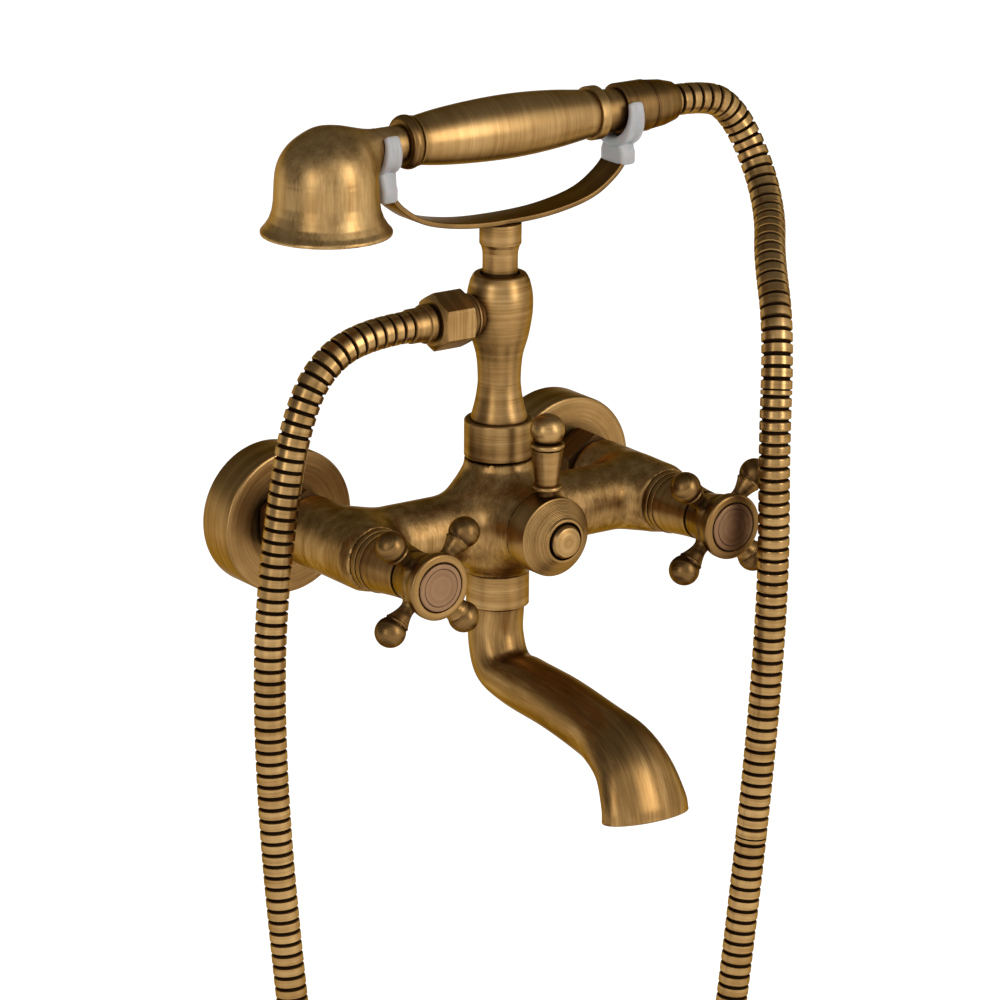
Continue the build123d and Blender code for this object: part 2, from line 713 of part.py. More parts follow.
knob = turned(
    boss, (0, knob_floor), (knob_recess_r, knob_floor), (knob_recess_r, knob_back), (knob_r, knob_back),
    (knob_r, knob_front - knob_edge), (knob_r - knob_edge, knob_front), (knob_nose_r, knob_nose),
    (button_well_r, knob_nose), (button_well_r, button_well_floor), (0, button_well_floor),
)
knob -= rod(boss, spindle_r + thread_gap, knob_back, diverter_spindle_end + seat_gap)
knob -= rod(boss, screw_r + seat_gap, diverter_spindle_end, button_well_floor + overrun)
lever = boss * Pos(0, 0, lever_at) * Rot(-90, 0, 0)
knob -= rod(lever, lever_neck_r + running_gap, lever_seat, knob_r + overrun)
knob -= rod(lever, lever_stud_r + thread_gap, lever_seat - lever_stud_length - seat_gap, lever_seat + overrun)
parts["diverter_knob"] = knob
parts["diverter_screw"] = slotted_screw(
    boss, button_well_floor, screw_head_r, screw_head_thick, screw_r,
    button_well_floor - diverter_spindle_end + screw_reach,
)
button = turned(
    boss, (0, button_front - button_skin), (button_hollow_r, button_front - button_skin),
    (button_hollow_r, button_well_floor), (button_r, button_well_floor),
    (button_r, button_front - button_edge), (button_r - button_edge, button_front), (0, button_front),
)
parts["diverter_button"] = button
lever_foot = lever_seat + lever_neck_length
lever_cone = lever_foot + lever_foot_thick
lever_bead = lever_cone + lever_cone_length
lever_ball = lever_bead + lever_bead_thick + lever_ball_lift
parts["diverter_lever"] = turned(
    lever, (0, lever_seat - lever_stud_length), (lever_stud_r, lever_seat - lever_stud_length),
    (lever_stud_r, lever_seat), (lever_neck_r, lever_seat), (lever_neck_r, lever_foot),
    (lever_foot_r - lever_foot_round, lever_foot),
    ((lever_foot_r, lever_foot + lever_foot_thick / 2), (lever_foot_r - lever_foot_round, lever_cone)),
    (lever_cone_foot_r, lever_cone), (lever_cone_top_r, lever_bead),
    ((lever_bead_r, lever_bead + lever_bead_thick / 2), (lever_cone_top_r, lever_bead + lever_bead_thick)),
    (sqrt(lever_ball_r ** 2 - lever_ball_lift ** 2), lever_bead + lever_bead_thick),
    ((lever_ball_r, lever_ball), (0, lever_ball + lever_ball_r)),
)

# Spout: straight lofts between ellipses that lean forward, flatten and widen to the mouth
def spout_section(row, inset, onward):
    """One ellipse of the spout; onward moves it along its own axis."""
    forward, drop, lean, pipe, mouth = row
    width = spout_neck_r + (spout_mid_r - spout_neck_r) * pipe + (mouth_half_width - spout_mid_r) * mouth
    depth = spout_neck_r + (spout_mid_r - spout_neck_r) * pipe + (mouth_half_depth - spout_mid_r) * mouth
    ahead = (0, -sin(radians(lean)), -cos(radians(lean)))
    place = Plane(
        origin=(0, -reach - forward * spout_reach + ahead[1] * onward,
                collar_bottom - drop * spout_drop + ahead[2] * onward),
        x_dir=(1, 0, 0), z_dir=ahead,
    )
    return place * Ellipse(width - inset, depth - inset)


spout = loft([spout_section(row, 0, 0) for row in spout_shares], ruled=True)
waterway = loft(
    [spout_section(row, spout_wall, 0) for row in spout_shares]
    + [spout_section(spout_shares[-1], spout_wall, overrun)],
    ruled=True,
)
spout += rod(column, spout_neck_r, collar_bottom, spout_neck_top)
spout += rod(column, spout_tail_r, spout_neck_top, spout_neck_top + spout_tail_length)
spout -= waterway
tail_top = spout_neck_top + spout_tail_length
spout -= rod(column, spout_bore_r, collar_bottom, tail_top + overrun)
slip_bottom = collar_seat + thread_gap
slip_top = slip_bottom + slip_ring_thick
spout -= tube(column, slip_ring_r, slip_groove_r, slip_bottom - thread_gap, slip_top + thread_gap)
spout_rings = []
for count in range(2):
    at = tail_top - tail_ring_drop - count * tail_ring_pitch
    spout -= shaft_groove(column, spout_tail_r, at)
    spout_rings.append(ring_on_shaft(column, spout_tail_r, at))
parts["spout"] = spout
parts["spout_o_rings"] = Compound(spout_rings)
parts["spout_slip_ring"] = rod(column, slip_ring_r, slip_bottom, slip_top) - rod(
    column, slip_groove_r + thread_gap, collar_bottom, hub_bottom
)
collar = turned(
    column, (spout_neck_r + thread_gap, collar_bottom), (collar_r - hex_chamfer, collar_bottom),
    (collar_r, collar_bottom + hex_chamfer), (collar_r, hub_bottom - collar_top_gap),
    (spout_spigot_r + thread_gap, hub_bottom - collar_top_gap), (spout_spigot_r + thread_gap, collar_seat),
    (spout_neck_r + thread_gap, collar_seat),
)
parts["spout_collar"] = collar
mouth_lean = spout_shares[-1][2]
grid_width = mouth_half_width - spout_wall - grid_gap
grid_depth = mouth_half_depth - spout_wall - grid_gap
mouth = Plane(
    origin=(0, -reach - spout_reach, collar_bottom - spout_drop), x_dir=(1, 0, 0),
    z_dir=(0, sin(radians(mouth_lean)), cos(radians(mouth_lean))),
).location
grid = mouth * Pos(0, 0, grid_recess) * extrude(Ellipse(grid_width, grid_depth), grid_thick)
opening = mouth * Pos(0, 0, grid_recess - overrun) * extrude(
    Ellipse(grid_width - grid_rim, grid_depth - grid_rim), grid_thick + overrun + overrun
)
bars = []
grid_pitch = (grid_width - grid_rim) * 2 / grid_slots
for count in range(grid_slots - 1):
    x = (count + 1) * grid_pitch - (grid_width - grid_rim)
    bar = Box(grid_bar, grid_depth * 3, grid_thick * 3)
    bars.append(mouth * Pos(x, 0, grid_recess + grid_thick / 2) * bar)
parts["outlet_grid"] = grid - (opening - bars)

# Riser column with its collar nut, seal and hose outlet
parts["riser_collar"] = turned(
    column, (riser_spigot_r + thread_gap, riser_nut_bottom), (riser_nut_r - riser_nut_edge, riser_nut_bottom),
    (riser_nut_r, riser_nut_bottom + riser_nut_edge), (riser_nut_r, riser_nut_top - riser_nut_edge),
    (riser_nut_r - riser_nut_edge, riser_nut_top), (riser_foot_r + thread_gap, riser_nut_top),
    (riser_foot_r + thread_gap, riser_flange_top + thread_gap),
    (riser_spigot_r + thread_gap, riser_flange_top + thread_gap),
)
parts["riser_seal"] = tube(
    column, riser_flange_r, waterway_r, riser_spigot_top, riser_flange_bottom
)
outline = []
for share, swell in riser_shares:
    height = riser_foot_top + (riser_top - riser_foot_top) * share
    outline.append((riser_neck_r + (riser_bulb_r - riser_neck_r) * swell, height))
riser = turned(
    column, (0, riser_flange_bottom), (riser_flange_r, riser_flange_bottom),
    (riser_flange_r, riser_flange_top),
    (riser_foot_r, riser_flange_top), (riser_foot_r, riser_foot_top), outline[0], outline[1:], (0, riser_top),
)
riser -= rod(column, riser_bore_r, riser_flange_bottom - overrun, riser_socket_floor)
riser -= rod(column, stem_r + running_gap, riser_socket_floor, riser_top + overrun)
riser -= rod(outlet, outlet_bore_r, 0, outlet_thread_in)
riser -= rod(outlet, outlet_thread_r + thread_gap, outlet_thread_in, riser_bulb_r + overrun)
riser -= rod(outlet, outlet_ring_r + thread_gap, outlet_ring_at, riser_bulb_r + overrun)
parts["riser_column"] = riser
bead_steps = []
for count in range(outlet_rings):
    start = outlet_ring_at + count * outlet_ring_width
    bead_steps.append(
        ((outlet_ring_r, start + outlet_ring_width / 2), (outlet_valley_r, start + outlet_ring_width))
    )
nipple = turned(
    outlet, (0, outlet_thread_in), (outlet_thread_r, outlet_thread_in), (outlet_thread_r, outlet_ring_at),
    (outlet_valley_r, outlet_ring_at), *bead_steps,
    (outlet_thread_r, outlet_ring_at + outlet_ring_width * outlet_rings),
    (outlet_thread_r, hose_nut_start), (outlet_male_r, hose_nut_start), (outlet_male_r, outlet_male_end),
    (0, outlet_male_end),
)
nipple -= rod(outlet, outlet_bore_r, outlet_thread_in - overrun, outlet_male_end + overrun)
parts["hose_outlet"] = nipple
parts["outlet_seal"] = tube(outlet, lower_collar_r, outlet_bore_r, outlet_male_end, ferrule_seat)
hose_nut = hex_bar(outlet, hose_nut_flats, hose_nut_start, hose_nut_end)
hose_nut -= rod(outlet, outlet_male_r + thread_gap, hose_nut_start - overrun, hose_nut_seat)
hose_nut -= rod(outlet, lower_ferrule_r + thread_gap, hose_nut_seat, hose_nut_end + overrun)
parts["hose_hex_nut"] = hose_nut
parts["lower_ferrule"] = (
    tube(outlet, lower_collar_r, hose_bore_r, ferrule_seat, ferrule_seat + ferrule_collar_thick)
    + tube(outlet, lower_ferrule_r, hose_bore_r, ferrule_seat, lower_ferrule_end)
)

# Cradle: a stem that turns in the riser carries the strap and its two clips
stem_tail = riser_socket_floor + seat_gap
stem = turned(
    column, (0, stem_tail), (stem_r, stem_tail), (stem_r, stem_shoulder),
    (stem_head_r, stem_shoulder + stem_shoulder_length), (stem_head_r, strap_bottom), (0, strap_bottom),
)
stem -= shaft_groove(column, stem_r, stem_ring_at)
strap_screw_foot = strap_top - strap_screw_length
stem -= rod(column, strap_screw_r + thread_gap, strap_screw_foot - seat_gap, strap_bottom + overrun)
parts["cradle_stem"] = stem
parts["stem_o_ring"] = ring_on_shaft(column, stem_r, stem_ring_at)
centres = []
for share, climb in strap_shares:
    centres.append((share * strap_half_span, strap_bottom + strap_thick / 2 + climb * strap_rise))
below, above = [], []
for index, (x, z) in enumerate(centres):
    before = centres[max(index - 1, 0)]
    after = centres[min(index + 1, len(centres) - 1)]
    run, climb = after[0] - before[0], after[1] - before[1]
    size = sqrt(run ** 2 + climb ** 2)
    below.append((x + climb / size * strap_thick / 2, 0, z - run / size * strap_thick / 2))
    above.append((x - climb / size * strap_thick / 2, 0, z + run / size * strap_thick / 2))
strap_face = make_face(
    Wire([Spline(*below), Line(below[-1], above[-1]), Spline(*above[::-1]), Line(above[0], below[0])])
)
strap = Pos(0, -reach, 0) * extrude(strap_face, strap_width / 2, dir=(0, 1, 0), both=True)
sunk_r = strap_screw_head_r + thread_gap
strap -= turned(
    column, (0, strap_bottom - overrun), (strap_screw_r + thread_gap, strap_bottom - overrun),
    (strap_screw_r + thread_gap, strap_top - strap_screw_head_thick), (sunk_r, strap_top),
    (sunk_r, strap_top + overrun), (0, strap_top + overrun),
)
parts["cradle_strap"] = strap
screw = turned(
    column, (0, strap_screw_foot), (strap_screw_r, strap_screw_foot),
    (strap_screw_r, strap_top - strap_screw_head_thick), (strap_screw_head_r, strap_top), (0, strap_top),
)
screw -= Pos(0, -reach, strap_top) * Box(strap_screw_head_r * 3, screw_slot_width, screw_slot_depth * 2)
parts["cradle_screw"] = screw


def clip(x, held_r):
    """Fork that the handset drops into, closed round the end of the strap."""
    inner = held_r + clip_gap
    outer = inner + clip_wall
    face = Pos(0, -clip_sag) * Circle(outer)
    face += Pos(0, (clip_base_bottom - grip_z) / 2) * Rectangle(clip_base_width, grip_z - clip_base_bottom)
    face -= Circle(inner) + Pos(0, clip_prong) * Rectangle(inner * 2, clip_prong * 2)
    face -= Pos(0, clip_prong + outer) * Rectangle(outer * 3, outer * 2)
    return handset * Pos(0, 0, x) * extrude(face, clip_thick / 2, both=True) - strap


parts["left_clip"] = clip(-clip_at, head_neck_r)
parts["right_clip"] = clip(clip_at, cone_nut_r)

# Handset: bell, grip and the hose end
bell_side = bell_dome_r - bell_wall
head = turned(
    bell, (0, bell_rim_z), (bell_rim_r, bell_rim_z), (bell_rim_r, bell_rim_z + bell_rim_height),
    ((bell_flare_r, bell_flare_at), (bell_body_r, bell_body_at)), (bell_dome_r, bell_dome_z),
    quarter((bell_dome_r, bell_dome_z), (0, bell_dome_z + bell_dome_r), (0, bell_dome_z)),
)
neck_root = sqrt(bell_dome_r ** 2 - (grip_z - bell_dome_z) ** 2) - head_at
head_root_mid_r = head_neck_r + (head_root_r - head_neck_r) / 4
head += turned(
    handset, (0, neck_root - bell_wall), (head_root_r, neck_root - bell_wall), (head_root_r, neck_root),
    [(head_root_mid_r, neck_root + head_root_length / 2), (head_neck_r, neck_root + head_root_length)],
    (head_neck_r, -grip_bead_start), (head_plug_r, -grip_bead_start),
    (head_plug_r, head_plug_length - grip_bead_start), (0, head_plug_length - grip_bead_start),
)
head -= turned(
    bell, (0, bell_rim_z - overrun), (plate_r + thread_gap, bell_rim_z - overrun),
    (plate_r + thread_gap, plate_seat), (plate_r - plate_seal_width, plate_seat),
    (bell_side, bell_body_at), (bell_side, bell_dome_z),
    quarter((bell_side, bell_dome_z), (0, bell_dome_z + bell_side), (0, bell_dome_z)),
)
head -= rod(handset, head_bore_r, -head_at, head_plug_length - grip_bead_start + overrun)
parts["handset_head"] = head
nozzles = []
for ring in range(1, nozzle_rings + 1):
    for count in range(nozzles_in_ring * ring):
        place = bell * Rot(0, 0, 360 / (nozzles_in_ring * ring) * count) * Pos(nozzle_pitch * ring, 0, 0)
        nozzles.append(rod(place, nozzle_r, plate_bottom - overrun, plate_top + overrun))
parts["spray_plate"] = rod(bell, plate_r, plate_bottom, plate_top) - nozzles
parts["spray_seal"] = tube(bell, plate_r, plate_r - plate_seal_width, plate_top, plate_seat)
bead_end = grip_bead_width - grip_bead_start
grip = turned(
    handset, (0, -grip_bead_start), (grip_bead_side_r, -grip_bead_start),
    ((grip_bead_r, -grip_bead_start + grip_bead_width / 2), (grip_bead_side_r, bead_end)),
    [(grip_start_r, bead_end + grip_bead_width / 4), (grip_r, 0), (grip_end_r, grip_end)],
    (grip_ring_r, grip_end), (grip_ring_r, nipple_start), (0, nipple_start),
)
grip -= rod(handset, grip_bore_r, -grip_bead_start - overrun, nipple_start + overrun)
grip -= rod(handset, head_plug_r + thread_gap, -grip_bead_start - overrun, head_plug_length - grip_bead_start)
grip -= rod(handset, nipple_plug_r + thread_gap, nipple_start - nipple_plug_length, nipple_start + overrun)
parts["handset_grip"] = grip
parts["handset_nipple"] = (
    rod(handset, nipple_plug_r, nipple_start - nipple_plug_length, nipple_start)
    + rod(handset, nipple_r, nipple_start, nipple_end)
    + rod(handset, nipple_male_r, nipple_end, nipple_male_end)
    - rod(handset, nipple_bore_r, grip_end - nipple_plug_length, nipple_male_end + overrun)
)
parts["handset_washer"] = tube(handset, upper_collar_r, nipple_bore_r, nipple_male_end, upper_collar_back)
cone_nut = turned(
    handset, (0, nipple_end), (cone_nut_r, nipple_end), (cone_nut_r, cone_nut_groove_at),
    (cone_nut_r - cone_nut_groove_depth, cone_nut_groove_at),
    (cone_nut_r - cone_nut_groove_depth, cone_nut_band_start), (cone_nut_band_r, cone_nut_band_start),
    (cone_nut_band_end_r, cone_nut_band_end), (cone_nut_end_r, cone_nut_end), (0, cone_nut_end),
)
cone_nut -= rod(handset, nipple_male_r + thread_gap, nipple_end - overrun, cone_nut_seat)
cone_nut -= rod(handset, upper_ferrule_r + thread_gap, cone_nut_seat, cone_nut_end + overrun)
parts["cone_nut"] = cone_nut
parts["upper_ferrule"] = (
    tube(handset, upper_collar_r, hose_bore_r, upper_collar_back, upper_collar_back + ferrule_collar_thick)
    + tube(handset, upper_ferrule_r, hose_bore_r, upper_collar_back, upper_ferrule_end)
)


# Hose: straight runs joined by arcs, each as large as its two runs allow
def hose_path(route):
    points = [Vector(*place) for place in route]
    runs = [after - before for before, after in zip(points, points[1:])]
    radii = [
        bend_share * min(run.length, onward.length) / tan(radians(run.get_angle(onward)) / 2)
        for run, onward in zip(runs, runs[1:])
    ]
    print("runs", [round(run.length) for run in runs])
    print("radii", [round(radius) for radius in radii])
    return FilletPolyline(*points, radius=radii)


def ribbed_hose(path, ribs):
    """A ribbed tube with its bore: four circles a rib, joined straight."""
    pitch = path.length / ribs
    places = [(0, 0)]
    for rib in range(ribs):
        places += [((rib + share) * pitch, height) for share, height in rib_shares]
    places.append((path.length, 0))
    sections = []
    for distance, height in places:
        centre = path.position_at(distance, position_mode=PositionMode.LENGTH)
        ahead = path.tangent_at(distance, position_mode=PositionMode.LENGTH)
        steady = Vector(0, 1, 0) - ahead * ahead.Y
        radius = hose_core_r + (hose_r - hose_core_r) * height
        sections.append(Plane(origin=centre, x_dir=steady, z_dir=ahead) * Circle(radius))
    body = loft(sections, ruled=True)
    start = Plane(origin=path @ 0, x_dir=(0, 1, 0), z_dir=path % 0)
    return body - sweep(start * Circle(hose_bore_r), path=path)


lower_path = hose_path([(-lower_ferrule_end, -reach, outlet_z)] + lower_route + [hose_joint])
upper_path = hose_path([hose_joint] + upper_route + [(upper_ferrule_end, -reach, grip_z)])
hose_length = lower_path.length + upper_path.length
print("hose", round(lower_path.length, 1), round(upper_path.length, 1), "together", round(hose_length, 1))
lower_ribs = round(hose_ribs * lower_path.length / hose_length)
parts["hose_lower"] = ribbed_hose(lower_path, lower_ribs)
parts["hose_upper"] = ribbed_hose(upper_path, hose_ribs - lower_ribs)

os.makedirs("parts", exist_ok=True)
for name, shape in parts.items():
    export_step(shape, f"parts/{name}.step")
print(len(parts), "nodes")
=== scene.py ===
# Bath shower mixer in antique brass: the looks of every piece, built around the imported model
import math

import bpy
import numpy as np
from mathutils import Matrix, Vector


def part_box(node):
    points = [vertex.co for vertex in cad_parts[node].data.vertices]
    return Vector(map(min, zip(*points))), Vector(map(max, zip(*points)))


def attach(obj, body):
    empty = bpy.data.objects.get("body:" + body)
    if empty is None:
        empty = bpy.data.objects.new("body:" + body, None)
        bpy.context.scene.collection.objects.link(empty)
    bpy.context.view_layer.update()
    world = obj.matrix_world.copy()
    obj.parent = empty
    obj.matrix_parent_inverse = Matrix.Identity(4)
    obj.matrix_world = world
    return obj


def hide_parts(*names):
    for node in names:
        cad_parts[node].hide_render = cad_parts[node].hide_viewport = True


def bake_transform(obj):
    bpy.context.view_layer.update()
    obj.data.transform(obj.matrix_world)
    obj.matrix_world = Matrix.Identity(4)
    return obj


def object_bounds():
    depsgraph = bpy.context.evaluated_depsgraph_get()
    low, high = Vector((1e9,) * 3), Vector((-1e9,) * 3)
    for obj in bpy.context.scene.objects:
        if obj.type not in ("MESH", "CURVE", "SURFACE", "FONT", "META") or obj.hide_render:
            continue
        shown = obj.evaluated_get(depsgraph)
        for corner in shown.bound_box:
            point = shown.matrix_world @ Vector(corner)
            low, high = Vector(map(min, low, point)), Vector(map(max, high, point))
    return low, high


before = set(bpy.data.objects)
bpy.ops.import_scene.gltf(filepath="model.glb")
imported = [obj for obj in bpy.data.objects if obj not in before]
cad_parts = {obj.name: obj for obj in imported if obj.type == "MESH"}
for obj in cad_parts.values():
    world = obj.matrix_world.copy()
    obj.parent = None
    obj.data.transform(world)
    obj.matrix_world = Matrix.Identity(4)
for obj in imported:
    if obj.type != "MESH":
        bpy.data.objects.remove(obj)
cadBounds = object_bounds()

mm = 0.001
tiny, tinySquare = 1e-9, 1e-14
scene = bpy.context.scene
scene.view_settings.view_transform = "Standard"
print("frame loaded:", len(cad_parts), "nodes")


# The axes of the mixer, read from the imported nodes
def middleOf(node):
    low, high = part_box(node)
    return (low + high) / 2


def axisPlace(origin, along, side):
    # local z runs along the axis of a turned piece, local x to its side
    along, side = Vector(along), Vector(side)
    across = along.cross(side)
    return Matrix((
        (side.x, across.x, along.x, origin[0]),
        (side.y, across.y, along.y, origin[1]),
        (side.z, across.z, along.z, origin[2]),
        (0, 0, 0, 1),
    ))


up, right, outward, inward, left = (0, 0, 1), (1, 0, 0), (0, -1, 0), (0, 1, 0), (-1, 0, 0)
bodyMiddle = middleOf("riser_seal")
gripMiddle = middleOf("handset_grip")
nutMiddle = middleOf("hose_hex_nut")
plateMiddle = middleOf("spray_plate")
knobMiddle = middleOf("diverter_screw")
columnAxis = axisPlace((bodyMiddle.x, bodyMiddle.y, 0), up, right)
handsetAxis = axisPlace((bodyMiddle.x, gripMiddle.y, gripMiddle.z), right, inward)
outletAxis = axisPlace((bodyMiddle.x, nutMiddle.y, nutMiddle.z), left, inward)
bellAxis = axisPlace((plateMiddle.x, plateMiddle.y, 0), up, right)
bossAxis = axisPlace((knobMiddle.x, 0, knobMiddle.z), outward, right)
valveAxes = {}
wallAxes = {}
for side in ("hot", "cold"):
    spindle = middleOf(side + "_spindle")
    flange = middleOf(side + "_flange")
    valveAxes[side] = axisPlace((spindle.x, 0, spindle.z), outward, right)
    wallAxes[side] = axisPlace((flange.x, 0, flange.z), outward, right)
crossAxis = axisPlace((bodyMiddle.x, bodyMiddle.y, valveAxes["hot"].translation.z), right, inward)
leverReach = 106 * mm  # from the wall to the lever's own axis
leverAxis = axisPlace((knobMiddle.x, -leverReach, knobMiddle.z), up, right)


# Camera, solved from the photograph's 1000 x 1000 frame
cameraView = {
    "azimuth": -35.40, "elevation": 16.98, "roll": 0.48, "distance": 2602.6 * mm,
    "target": (4.51 * mm, -65.0 * mm, 7.87 * mm), "lens": 215.31, "sensor": 36.0, "clip": (0.1, 60),
}


def addCamera(view):
    turn, climb = math.radians(view["azimuth"]), math.radians(view["elevation"])
    back = Vector((math.sin(turn) * math.cos(climb), -math.cos(turn) * math.cos(climb), math.sin(climb)))
    sideways = (-back).cross(Vector(up)).normalized()
    upward = sideways.cross(-back)
    roll = math.radians(view["roll"])
    camX = math.cos(roll) * sideways + math.sin(roll) * upward
    camY = -math.sin(roll) * sideways + math.cos(roll) * upward
    place = Vector(view["target"]) + back * view["distance"]
    data = bpy.data.cameras.new("photoCamera")
    data.lens, data.sensor_width = view["lens"], view["sensor"]
    data.clip_start, data.clip_end = view["clip"]
    camera = bpy.data.objects.new("photoCamera", data)
    camera.matrix_world = Matrix((
        (camX.x, camY.x, back.x, place.x), (camX.y, camY.y, back.y, place.y),
        (camX.z, camY.z, back.z, place.z), (0, 0, 0, 1),
    ))
    scene.collection.objects.link(camera)
    scene.camera = camera


addCamera(cameraView)
print("camera placed")


# Small helpers for node trees; a value that is a socket is linked, any other is set
def setSockets(tree, sockets, values):
    for key, value in values.items():
        if isinstance(value, bpy.types.NodeSocket):
            tree.links.new(value, sockets[key])
        else:
            sockets[key].default_value = value


def addNode(tree, kind, inputs=None, **settings):
    made = tree.nodes.new(kind)
    for name, value in settings.items():
        setattr(made, name, value)
    setSockets(tree, made.inputs, inputs or {})
    return made


def mathNode(tree, operation, *values, clamp=False):
    return addNode(
        tree, "ShaderNodeMath", dict(enumerate(values)), operation=operation, use_clamp=clamp
    ).outputs[0]


def rangeNode(tree, value, low, high, toLow=0.0, toHigh=1.0, smooth=False):
    return addNode(
        tree, "ShaderNodeMapRange",
        {"Value": value, "From Min": low, "From Max": high, "To Min": toLow, "To Max": toHigh},
        interpolation_type="SMOOTHSTEP" if smooth else "LINEAR",
    ).outputs[0]


def mixNode(tree, share, first, second):
    return addNode(tree, "ShaderNodeMix", {0: share, 6: first, 7: second}, data_type="RGBA").outputs[2]


def vectorNode(tree, operation, first, second):
    return addNode(tree, "ShaderNodeVectorMath", {0: first, 1: second}, operation=operation).outputs[0]


def noiseNode(tree, where, size, detail, rough):
    return addNode(
        tree, "ShaderNodeTexNoise", {"Vector": where, "Scale": size, "Detail": detail, "Roughness": rough}
    ).outputs["Fac"]


def newGroup(name, inputs, outputs):
    group = bpy.data.node_groups.new(name, "ShaderNodeTree")
    for label, kind, value in inputs:
        socket = group.interface.new_socket(label, in_out="INPUT", socket_type=kind)
        if value is not None:
            socket.default_value = value
    for label, kind in outputs:
        group.interface.new_socket(label, in_out="OUTPUT", socket_type=kind)
    return group, group.nodes.new("NodeGroupInput").outputs, group.nodes.new("NodeGroupOutput").inputs


# Brush marks: fine streaks and broader bands, stretched by a scale for each direction
brushMarks = {"Fine": (1.0, 5.0, 0.62), "Broad": (0.22, 3.0, 0.5)}  # size, detail and roughness of each


def makeStreakGroup():
    group, given, result = newGroup(
        "brushStreaks",
        [("Vector", "NodeSocketVector", None), ("Scale", "NodeSocketVector", (100, 100, 100))],
        [(label, "NodeSocketFloat") for label in brushMarks],
    )
    scaled = vectorNode(group, "MULTIPLY", given["Vector"], given["Scale"])
    for label, noise in brushMarks.items():
        group.links.new(noiseNode(group, scaled, *noise), result[label])
    return group


# Aged metal with painted shade: a tone from streaks, clouds, patina and painted shade in cavities and where
# pieces meet, and painted shade on the side that faces down, turned into three colours
brassColours = {
    "Light": (0.56, 0.36, 0.150, 1), "Middle": (0.27, 0.150, 0.050, 1), "Dark": (0.050, 0.024, 0.009, 1),
}
capColours = {
    "Light": (0.36, 0.215, 0.115, 1), "Middle": (0.21, 0.115, 0.060, 1), "Dark": (0.060, 0.028, 0.014, 1),
}
# the cavity keys set the patina and painted shade in hollows and where pieces meet; the below keys set the
# painted shade on surfaces that face down
patinaAndShade = {
    "usual": {"Tone": 0.55, "Streaking": 0.5, "Soil": 0.8, "Underside": 0.2, "Gloss": 0.36},
    "cloudNoise": (38.0, 4.0, 0.55), "cloudShare": 0.55, "fineShare": 0.9, "middleTone": 0.5,
    "cavityReach": 7 * mm, "cavitySamples": 8, "belowFrom": 0.25, "belowTo": -0.9,
    "fineRoughness": 0.28, "cavityRoughness": 0.25,
}


def makePatinaShadeGroup():
    group, given, result = newGroup(
        "agedMetal",
        [(label, "NodeSocketFloat", 0.5) for label in brushMarks]
        + [(label, "NodeSocketColor", colour) for label, colour in brassColours.items()]
        + [(label, "NodeSocketFloat", value) for label, value in patinaAndShade["usual"].items()],
        [("Color", "NodeSocketColor"), ("Roughness", "NodeSocketFloat"), ("Height", "NodeSocketFloat")],
    )
    where = addNode(group, "ShaderNodeTexCoord").outputs
    clouds = noiseNode(group, where["Object"], *patinaAndShade["cloudNoise"])
    # ambient occlusion, also from other pieces: hollows and joins get darker as patina and painted shade
    occlusion = addNode(
        group, "ShaderNodeAmbientOcclusion", {"Distance": patinaAndShade["cavityReach"]},
        samples=patinaAndShade["cavitySamples"],
    ).outputs["AO"]
    cavity = mathNode(group, "SUBTRACT", 1.0, occlusion, clamp=True)
    # painted shade: surfaces that face down get darker
    facing = addNode(group, "ShaderNodeSeparateXYZ", {0: where["Normal"]}).outputs["Z"]
    below = rangeNode(group, facing, patinaAndShade["belowFrom"], patinaAndShade["belowTo"], smooth=True)
    fineShift, broadShift, cloudShift = [
        mathNode(group, "SUBTRACT", value, 0.5) for value in (given["Fine"], given["Broad"], clouds)
    ]
    streak = mathNode(group, "ADD", mathNode(group, "MULTIPLY", fineShift, patinaAndShade["fineShare"]), broadShift)
    tone = mathNode(group, "MULTIPLY_ADD", streak, given["Streaking"], given["Tone"])
    tone = mathNode(group, "MULTIPLY_ADD", cloudShift, patinaAndShade["cloudShare"], tone)
    # darker in cavities and where pieces meet: part patina, part painted shade
    tone = mathNode(group, "SUBTRACT", tone, mathNode(group, "MULTIPLY", cavity, given["Soil"]))
    # painted shade on the side that faces down
    undersideShade = mathNode(group, "MULTIPLY", below, given["Underside"])
    tone = mathNode(group, "SUBTRACT", tone, undersideShade, clamp=True)
    low = rangeNode(group, tone, 0.0, patinaAndShade["middleTone"])
    high = rangeNode(group, tone, patinaAndShade["middleTone"], 1.0)
    darker = mixNode(group, low, given["Dark"], given["Middle"])
    rough = mathNode(group, "MULTIPLY_ADD", fineShift, patinaAndShade["fineRoughness"], given["Gloss"])
    setSockets(group, result, {
        "Color": mixNode(group, high, darker, given["Light"]),
        "Roughness": mathNode(group, "MULTIPLY_ADD", cavity, patinaAndShade["cavityRoughness"], rough, clamp=True),
        "Height": given["Fine"],
    })
    return group


streakGroup = makeStreakGroup()
patinaShadeGroup = makePatinaShadeGroup()
print("shader groups built")


def emptyMaterial(name):
    material = bpy.data.materials.new(name)
    material.use_nodes = True
    tree = material.node_tree
    tree.nodes.clear()
    return material, tree, tree.nodes.new("ShaderNodeOutputMaterial")


def startMaterial(name):
    material, tree, output = emptyMaterial(name)
    shader = tree.nodes.new("ShaderNodeBsdfPrincipled")
    tree.links.new(shader.outputs["BSDF"], output.inputs["Surface"])
    return material, tree, shader.inputs


brassShine = {"Metallic": 1.0, "Specular Tint": (0.55, 0.42, 0.28, 1)}
brushDepth = 0.12 * mm


def agedShadedNode(tree, where, grain, values):
    marks = addNode(tree, "ShaderNodeGroup", {"Vector": where, "Scale": grain}, node_tree=streakGroup).outputs
    return addNode(
        tree, "ShaderNodeGroup", {"Fine": marks["Fine"], "Broad": marks["Broad"], **values},
        node_tree=patinaShadeGroup,
    )


